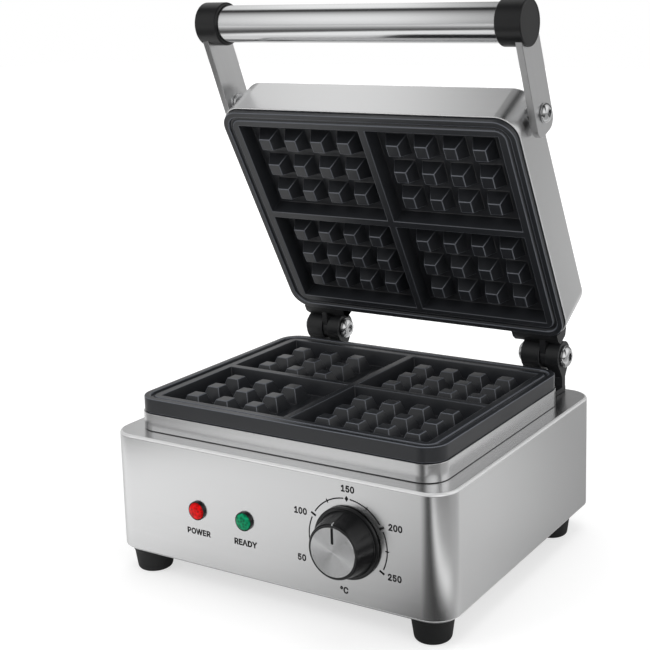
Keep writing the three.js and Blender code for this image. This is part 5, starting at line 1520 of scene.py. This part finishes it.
class WAFFLE_OT_print(bpy.types.Operator):
    """Prints the dial's scale and the words under the lamps"""

    bl_idname = "waffle.print"
    bl_label = "Panel print"

    # Degrees Celsius at the numbers, at the fine ticks between them and at the top of the scale
    marks = (50, 100, 150, 200, 250)
    between = (125, 175, 225)
    top_mark = 150
    mark_step = 50
    # Where the numbers stand, as shares of the scale's radius
    place_shares = {
        50: (-1.22, -0.60), 100: (-1.22, 0.50), 150: (0.03, 1.225), 200: (1.21, 0.56), 250: (1.17, -0.58),
    }
    unit_place_shares = (-0.12, -1.135)

    def execute(self, context):
        sizes = context.scene.waffle_panel
        made = [*self.scale_arcs(sizes), *self.ticks(sizes)]
        for value in self.marks:
            place = self.on_scale(sizes, self.place_shares[value])
            made.append(self.text(str(value), sizes.number_height, NUMBER_WIDTH_SHARE, sizes, place))
        place = self.on_scale(sizes, self.unit_place_shares)
        made.append(self.text("°C", sizes.number_height, NUMBER_WIDTH_SHARE, sizes, place))
        for piece in made:
            put(piece, dial_place())
        for node, word in (("lamp_bezel_red", "POWER"), ("lamp_bezel_green", "READY")):
            middle = middle_of(node)
            label = self.text(word, sizes.word_height, WORD_WIDTH_SHARE, sizes, (0, -sizes.word_level))
            made.append(put(label, on_panel(middle.x, middle.z)))
        ink = joined(*made)
        ink.name = "panel_print"
        finish(ink, "base", "control_black", coat="ink")
        return {"FINISHED"}

    def on_scale(self, sizes, shares):
        """A point given in shares of the scale's radius."""
        return [sizes.scale * share_of for share_of in shares]

    def turn_of(self, value, sizes):
        """Angle of a temperature on the scale, from +X."""
        return math.pi / 2 - (value - self.top_mark) / self.mark_step * sizes.scale_step

    def sector(self, sizes, start, end):
        """A thin printed arc between two angles."""
        half = sizes.scale_line / 2
        steps = round((end - start) / ARC_STEP)
        section = [
            (sizes.scale - half, 0), (sizes.scale + half, 0), (sizes.scale + half, sizes.print_height),
            (sizes.scale - half, sizes.print_height), (sizes.scale - half, 0),
        ]
        piece = turned("arc", section, steps=steps, turn=end - start)
        shape(piece, "EDGE", everything, (bpy.ops.mesh.fill_holes, {"sides": len(section)}))
        return put(piece, Matrix.Rotation(start, 4, "Z"))

    def scale_arcs(self, sizes):
        """The arcs between the main ticks."""
        return [
            self.sector(
                sizes, self.turn_of(high, sizes) + sizes.arc_gap, self.turn_of(low, sizes) - sizes.arc_gap
            )
            for low, high in zip(self.marks, self.marks[1:])
        ]

    def ticks(self, sizes):
        """Thick main ticks beside the numbers, thin ones between them and a drop at the middle."""
        made = []
        for value in (*self.marks, *self.between):
            main = value in self.marks
            reach = (sizes.major_tick if main else sizes.minor_tick) / 2
            half = sizes.scale_line * (MAIN_TICK_SHARE if main else FINE_TICK_SHARE)
            if value == self.top_mark:
                drop = [(-reach, 0), (0, -2 * half), (reach, 0), (0, 2 * half)]
                tick = outlined("tick", [(sizes.scale + x, y) for x, y in drop], sizes.print_height)
            else:
                low, high = (sizes.scale - reach, -half, 0), (sizes.scale + reach, half, sizes.print_height)
                tick = block("tick", low, high)
            made.append(put(tick, Matrix.Rotation(self.turn_of(value, sizes), 4, "Z")))
        return made

    def text(self, words, height, width_share, sizes, centre):
        """Printed words of a given height and relative width, centred on a point."""
        deselect()
        bpy.ops.object.text_add()
        label = bpy.context.object
        label.data.font = bpy.data.fonts.load(PRINT_FONT, check_existing=True)
        label.data.body = words
        label.data.align_x = "CENTER"
        label.data.align_y = "CENTER"
        label.data.space_character = LETTER_SPACING_SHARE
        label.data.resolution_u = 4
        label.data.extrude = BOLD_SHARE
        label.data.bevel_depth = BOLD_SHARE
        label.data.bevel_resolution = 0
        bpy.ops.object.convert(target="MESH")
        label = bpy.context.object
        grow = height / label.dimensions.y
        flat = sizes.print_height / label.dimensions.z
        fitted = Matrix.Diagonal((width_share * grow, grow, flat, 1))
        return put(label, Matrix.Translation((*centre, sizes.print_height / 2)) @ fitted)


# Feet and back
FOOT_LEAN = 8  # degrees that a foot's side leans from upright at its rounded rim


class WAFFLE_OT_feet(bpy.types.Operator):
    """Turns the rubber feet"""

    bl_idname = "waffle.feet"
    bl_label = "Feet"

    def execute(self, context):
        sizes = context.scene.waffle_feet
        first_low, first_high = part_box("foot_front_left")
        top = (first_high.x - first_low.x) / 2
        height = first_high.z - first_low.z
        bottom = top - sizes.taper
        centre = (bottom - sizes.rounding, sizes.rounding)
        corner = arc(sizes.rounding, -90, -FOOT_LEAN, RIM_STEPS, centre)
        profile = [
            (sizes.recess, sizes.recess_depth), (sizes.recess, 0), *corner,
            (top - sizes.shoulder, height - sizes.collar - sizes.shoulder), (top, height - sizes.collar),
            (top, height), (sizes.bore, height), (sizes.bore, sizes.recess_depth),
            (sizes.recess, sizes.recess_depth),
        ]
        pattern = turned("foot_pattern", profile)
        round_edges(pattern, sizes.edge, 2)
        for place in ("front_left", "front_right", "rear_left", "rear_right"):
            node = f"foot_{place}"
            stand = Matrix.Translation((*middle_of(node).xy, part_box(node)[0].z))
            foot = copied(pattern, f"rubber_foot_{place}", stand)
            finish(foot, "base", "foot_rubber", node)
        bpy.data.objects.remove(pattern)
        return {"FINISHED"}


# Outlines turned round an axis: shares of the hexagon's radius and of the reach behind the wall
GLAND_SHARES = (
    (0.625, 0.22), (0.84, 0.24), (0.84, 0.36), (0.78, 0.38), (0.78, 0.44), (0.84, 0.46), (0.84, 0.70),
    (0.755, 0.86), (0.525, 1), (0.375, 0.98),
)
GLAND_NUT_SHARE = 0.24
# Outline of a grommet: shares of its flange's radius and of its depth, from its inner to its outer face
GROMMET_SHARES = (
    (0.45, -1), (0.85, -1), (1, -0.68), (0.72, -0.68), (0.72, -0.32), (1, -0.32), (0.94, -0.11), (0.8, 0),
    (0.54, 0), (0.45, -0.13), (0.45, -1),
)


class WAFFLE_OT_back(bpy.types.Operator):
    """Makes the cable gland at the back and the grommets for the lid's lead"""

    bl_idname = "waffle.back"
    bl_label = "Gland and grommets"

    def execute(self, context):
        sizes = context.scene.waffle_back
        low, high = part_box("cable_gland")
        middle = middle_of("cable_gland")
        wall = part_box("base_casing")[1].y
        reach = high.y - wall
        hexagon = min(high.z - low.z, high.x - low.x) / 2 / math.cos(math.pi / HEX)
        thread_share, bore_share = GLAND_SHARES[0][0], GLAND_SHARES[-1][0]
        inner_end = low.y - wall
        profile = [
            (hexagon * bore_share, inner_end), (hexagon * thread_share, inner_end),
            *((hexagon * across, reach * along) for across, along in GLAND_SHARES),
            (hexagon * bore_share, inner_end),
        ]
        gland = turned("gland", profile)
        round_edges(gland, sizes.gland_edge, 2)
        nut = rod("gland_hex", hexagon, sizes.seat, reach * GLAND_NUT_SHARE, sides=HEX)
        combine(nut, "DIFFERENCE", rod("nut_bore", hexagon * thread_share - sizes.seat, -OVERRUN, reach))
        round_edges(nut, sizes.nut_edge)
        gland = joined(gland, nut)
        gland.name = "gland"
        put(gland, Matrix.Translation((middle.x, wall, middle.z)) @ TO_BACK)
        finish(gland, "base", "control_black", "cable_gland")
        self.grommet(sizes, "lead_grommet_base", "base", HERE, HERE)
        self.grommet(sizes, "lead_grommet_lid", "lid", LID, TO_BACK)
        return {"FINISHED"}

    def grommet(self, sizes, node, body, place, turn):
        """A ring with a groove for the sheet, facing up or, in the lid, to the lid's back."""
        low, high = local_box(node, place)
        middle = (low + high) / 2
        flange = (high.x - low.x) / 2
        along = turn.inverted().to_3x3() @ (high - low)
        depth = abs(along.z)
        outer = middle + turn.to_3x3() @ Vector((0, 0, depth / 2))
        profile = [(flange * across, depth * down) for across, down in GROMMET_SHARES]
        grommet = turned(f"{node}_ring", profile)
        round_edges(grommet, sizes.grommet_edge, 2)
        put(grommet, place @ Matrix.Translation(outer) @ turn)
        finish(grommet, body, "foot_rubber", node)


class WAFFLE_OT_finishes(bpy.types.Operator):
    """Builds every finish and gives the CAD parts that stay theirs"""

    bl_idname = "waffle.finishes"
    bl_label = "Finishes"

    def execute(self, context):
        make_finishes(context.scene.waffle_finishes)
        for part in frame["record"]["subparts"]:
            node = frame["nodes"][part["node"]]
            for slot in node.material_slots:
                slot.material = FINISHES[SLOT_FINISHES[part["material_slot"]]]
        return {"FINISHED"}


# Stage
def light_path_mask(tree, *kinds):
    """One where the ray is of any of the kinds."""
    path = tree.nodes.new("ShaderNodeLightPath")
    mask = path.outputs[kinds[0]]
    for kind in kinds[1:]:
        mask = calculation(tree, "MAXIMUM", mask, path.outputs[kind])
    return mask


def grey_ramp(tree, factor, stops):
    """A grey level read off (place, level) stops."""
    ramp = tree.nodes.new("ShaderNodeValToRGB")
    tree.links.new(factor, ramp.inputs["Fac"])
    elements = ramp.color_ramp.elements
    for element, (place, level) in zip((elements[0], elements[1]), (stops[0], stops[-1])):
        element.position = place
        element.color = (level, level, level, 1)
    for place, level in stops[1:-1]:
        elements.new(place).color = (level, level, level, 1)
    return ramp.outputs["Color"]


# The room's light on the pieces, as a share of the white behind them
AMBIENT_SHARE = 0.62
# Tone of the floor where it is seen, and how much of what metal mirrors of it is glow
SEEN_SHARE = 0.45
GLOW_SHARE = 0.15
# What polished metal mirrors, as (place, level) shares. Of the room: overhead, in half turns from the front
# horizon over the top to the back, and across it from the left to the right. Of the table: rings round the
# object, how far the front strip reaches back, and stripes beside the strip and across it.
OVERHEAD_SHARES = (
    (0.0, 0.85), (0.10, 1.0), (0.20, 0.98), (0.29, 0.8), (0.38, 0.42), (0.44, 0.05),
    (0.51, 0.05), (0.57, 0.95), (0.72, 1.0), (0.86, 0.85), (1.0, 0.75),
)
ACROSS_SHARES = (
    (0.0, 0.4), (0.16, 0.4), (0.195, 0.75), (0.22, 1.0), (0.25, 1.0), (0.27, 0.55), (0.29, 0.3),
    (0.43, 0.3), (0.52, 0.05), (0.60, 0.1), (0.72, 0.65), (0.9, 1.0), (1.0, 0.8),
)
RING_SHARES = (
    (0.0, 0.9), (0.225, 0.9), (0.25, 0.35), (0.275, 0.07), (0.33, 0.08), (0.43, 0.22), (0.9, 0.65),
    (1.0, 0.8),
)
TABLE_FRONT_SHARES = ((0.0, 1.0), (0.36, 1.0), (0.42, 0.0), (1.0, 0.0))
TABLE_SIDE_SHARES = (
    (0.0, 0.3), (0.3, 0.42), (0.36, 0.58), (0.43, 0.56), (0.5, 0.48), (0.57, 0.38), (0.64, 0.32),
    (0.8, 0.34), (1.0, 0.58),
)
TABLE_ACROSS_SHARES = (
    (0.0, 0.86), (0.25, 0.86), (0.45, 0.67), (0.56, 0.42), (0.61, 0.12), (0.665, 0.02), (0.69, 0.1),
    (0.705, 0.4), (0.725, 0.95), (0.745, 1.0), (0.76, 0.65), (0.775, 0.35), (1.0, 0.32),
)
# Where these are read: the rings over this share of the distance, the stripes from a ramp's middle, and the
# table beside the front strip along the slanted lines that the base's side mirrors
RING_REACH_SHARE = 0.5
MIDDLE_SHARE = 0.5
SIDE_SLANT_SHARE = -1.8
SIDE_START_SHARE = 0.75
# White of the floor where it is seen, over the distance from the middle
WHITE_SHARES = ((0.0, 0.60), (0.45, 0.66), (0.9, 1.0), (1.0, 1.0))
# Lamps: name, place, aim, side and power
LAMPS = (
    ("Key", (-1.1, -1.5, 1.6), (0, 0, 0.2), 1.1, 13),
    ("Fill", (1.9, -0.9, 1.2), (0, 0, 0.15), 1.2, 12),
    ("Top", (0, 0.5, 2.0), (0, 0, 0.1), 1.4, 14),
)


class WAFFLE_OT_stage(bpy.types.Operator):
    """Sets the pale floor, the soft lights, the world and the camera"""

    bl_idname = "waffle.stage"
    bl_label = "Stage"

    def execute(self, context):
        stage = context.scene.waffle_stage
        self.floor(stage)
        self.world(context.scene)
        for lamp in LAMPS:
            self.light(*lamp)
        self.camera(context.scene, stage)
        context.scene.view_settings.view_transform = "Standard"
        return {"FINISHED"}

    def floor(self, stage):
        """A pale table: white to the camera, and bright and dark by turns to polished metal."""
        deselect()
        bpy.ops.mesh.primitive_plane_add(size=stage.floor)
        floor = named("floor")
        material = bpy.data.materials.new("Floor")
        material.use_nodes = True
        tree = material.node_tree
        shader = tree.nodes["Principled BSDF"]
        place = tree.nodes.new("ShaderNodeTexCoord").outputs["Object"]
        away = tree.nodes.new("ShaderNodeVectorMath")
        away.operation = "LENGTH"
        tree.links.new(place, away.inputs[0])
        distance = away.outputs["Value"]
        seen = light_path_mask(tree, "Is Camera Ray", "Is Transmission Ray")
        glossy = light_path_mask(tree, "Is Glossy Ray")
        in_metal = multiplied(tree, self.table_reflection(tree, place, distance), glossy)
        unseen_tone = multiplied(tree, subtracted(tree, 1, seen), stage.floor_tone)
        tone = added(tree, multiplied(tree, seen, SEEN_SHARE), unseen_tone)
        plain = multiplied(tree, tone, subtracted(tree, 1, glossy))
        tree.links.new(grey_colour(tree, added(tree, plain, in_metal)), shader.inputs["Base Color"])
        shader.inputs["Roughness"].default_value = 0.9
        shader.inputs["Specular IOR Level"].default_value = 0.0
        shader.inputs["Emission Color"].default_value = (1, 1, 1, 1)
        whitened = multiplied(tree, seen, grey_ramp(tree, distance, WHITE_SHARES))
        glow = added(tree, whitened, multiplied(tree, in_metal, GLOW_SHARE))
        tree.links.new(glow, shader.inputs["Emission Strength"])
        below = tree.nodes.new("ShaderNodeNewGeometry").outputs["Backfacing"]
        clear = tree.nodes.new("ShaderNodeBsdfTransparent")
        choice = tree.nodes.new("ShaderNodeMixShader")
        tree.links.new(below, choice.inputs["Fac"])
        tree.links.new(shader.outputs["BSDF"], choice.inputs[1])
        tree.links.new(clear.outputs["BSDF"], choice.inputs[2])
        tree.links.new(choice.outputs["Shader"], tree.nodes["Material Output"].inputs["Surface"])
        floor.data.materials.append(material)

    def table_reflection(self, tree, place, distance):
        """What polished metal sees of the table: rings and stripes in front, slanted stripes beside."""
        split = tree.nodes.new("ShaderNodeSeparateXYZ")
        tree.links.new(place, split.inputs["Vector"])
        right, back = split.outputs["X"], split.outputs["Y"]
        front = grey_ramp(tree, added(tree, back, MIDDLE_SHARE), TABLE_FRONT_SHARES)
        ring = grey_ramp(tree, multiplied(tree, distance, RING_REACH_SHARE), RING_SHARES)
        across = grey_ramp(tree, added(tree, right, MIDDLE_SHARE), TABLE_ACROSS_SHARES)
        ahead = multiplied(tree, multiplied(tree, ring, across), front)
        along = added(tree, back, multiplied(tree, right, SIDE_SLANT_SHARE))
        beside = grey_ramp(tree, added(tree, along, SIDE_START_SHARE), TABLE_SIDE_SHARES)
        return added(tree, ahead, multiplied(tree, beside, subtracted(tree, 1, front)))

    def world(self, scene):
        """An even white room, with a studio's light and dark stretches for polished metal."""
        world = bpy.data.worlds.new("Studio")
        scene.world = world
        world.use_nodes = True
        tree = world.node_tree
        background = tree.nodes["Background"]
        seen = light_path_mask(tree, "Is Camera Ray", "Is Transmission Ray")
        glossy = light_path_mask(tree, "Is Glossy Ray")
        lighting = added(tree, multiplied(tree, seen, 1 - AMBIENT_SHARE), AMBIENT_SHARE)
        plain = multiplied(tree, lighting, subtracted(tree, 1, glossy))
        mirrored = multiplied(tree, self.studio_reflection(tree), glossy)
        background.inputs["Color"].default_value = (1, 1, 1, 1)
        tree.links.new(added(tree, plain, mirrored), background.inputs["Strength"])

    def studio_reflection(self, tree):
        """What polished metal sees of the room, overhead from front to back and across it."""
        coordinates = tree.nodes.new("ShaderNodeTexCoord")
        split = tree.nodes.new("ShaderNodeSeparateXYZ")
        tree.links.new(coordinates.outputs["Generated"], split.inputs["Vector"])
        over = calculation(tree, "ARCTAN2", split.outputs["Z"], multiplied(tree, split.outputs["Y"], -1))
        overhead = grey_ramp(tree, multiplied(tree, over, 1 / math.pi), OVERHEAD_SHARES)
        sideways = added(tree, multiplied(tree, split.outputs["X"], 1 / 2), MIDDLE_SHARE)
        return multiplied(tree, overhead, grey_ramp(tree, sideways, ACROSS_SHARES))

    def light(self, name, place, target, size, power):
        """A soft square lamp that polished metal doesn't show."""
        deselect()
        bpy.ops.object.light_add(type="AREA", location=place)
        light = bpy.context.object
        light.name = name
        light.data.shape = "SQUARE"
        light.data.size = size
        light.data.energy = power
        away = Vector(place) - Vector(target)
        light.rotation_euler = away.to_track_quat("Z", "Y").to_euler()
        light.visible_glossy = False

    def camera(self, scene, stage):
        """The camera that takes the photograph's view."""
        deselect()
        bpy.ops.object.camera_add(location=stage.place)
        camera = bpy.context.object
        turn = Matrix.Rotation(stage.turn, 4, "Z") @ Matrix.Rotation(math.pi / 2 - stage.pitch, 4, "X")
        camera.rotation_euler = (turn @ Matrix.Rotation(stage.roll, 4, "Z")).to_euler()
        camera.data.lens = stage.focal
        camera.data.shift_x = -stage.shift_left
        camera.data.shift_y = -stage.shift_down
        scene.camera = camera


class WAFFLE_PT_panel(bpy.types.Panel):
    """Lists the waffle maker's pieces and stage"""

    bl_idname = "WAFFLE_PT_panel"
    bl_label = "Waffle Maker"
    bl_space_type = "VIEW_3D"
    bl_region_type = "UI"
    bl_category = "Waffle Maker"

    def draw(self, context):
        for operator in OPERATORS:
            self.layout.operator(operator.bl_idname)
        for group in GROUP_PROPERTIES:
            settings = getattr(context.scene, group)
            for name in settings.bl_rna.properties.keys():
                if name not in ("rna_type", "name"):
                    self.layout.prop(settings, name)


OPERATORS = (
    WAFFLE_OT_finishes,
    WAFFLE_OT_base_casing,
    WAFFLE_OT_lid_casing,
    WAFFLE_OT_plates,
    WAFFLE_OT_hinges,
    WAFFLE_OT_handle,
    WAFFLE_OT_dial,
    WAFFLE_OT_lamps,
    WAFFLE_OT_print,
    WAFFLE_OT_feet,
    WAFFLE_OT_back,
    WAFFLE_OT_stage,
)
GROUP_PROPERTIES = {
    "waffle_casing": CasingSizes,
    "waffle_plate": PlateSizes,
    "waffle_hinge": HingeSizes,
    "waffle_handle": HandleSizes,
    "waffle_panel": PanelSizes,
    "waffle_feet": FootSizes,
    "waffle_back": BackSizes,
    "waffle_finishes": Finishes,
    "waffle_stage": StageSizes,
}


def register():
    """Registers the classes and the scene's properties."""
    for group in (*GROUP_PROPERTIES.values(), *OPERATORS, WAFFLE_PT_panel):
        bpy.utils.register_class(group)
    for name, group in GROUP_PROPERTIES.items():
        setattr(bpy.types.Scene, name, PointerProperty(type=group))


def unregister():
    """Takes the classes and the scene's properties away again."""
    for name in GROUP_PROPERTIES:
        delattr(bpy.types.Scene, name)
    for group in reversed((*GROUP_PROPERTIES.values(), *OPERATORS, WAFFLE_PT_panel)):
        bpy.utils.unregister_class(group)


def main():
    register()
    bpy.ops.waffle.finishes()
    bpy.ops.waffle.base_casing()
    bpy.ops.waffle.lid_casing()
    bpy.ops.waffle.plates()
    bpy.ops.waffle.hinges()
    bpy.ops.waffle.handle()
    bpy.ops.waffle.dial()
    bpy.ops.waffle.lamps()
    bpy.ops.waffle.print()
    bpy.ops.waffle.feet()
    bpy.ops.waffle.back()
    bpy.ops.waffle.stage()
    deselect()
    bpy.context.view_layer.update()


if __name__ == "__main__":
    main()
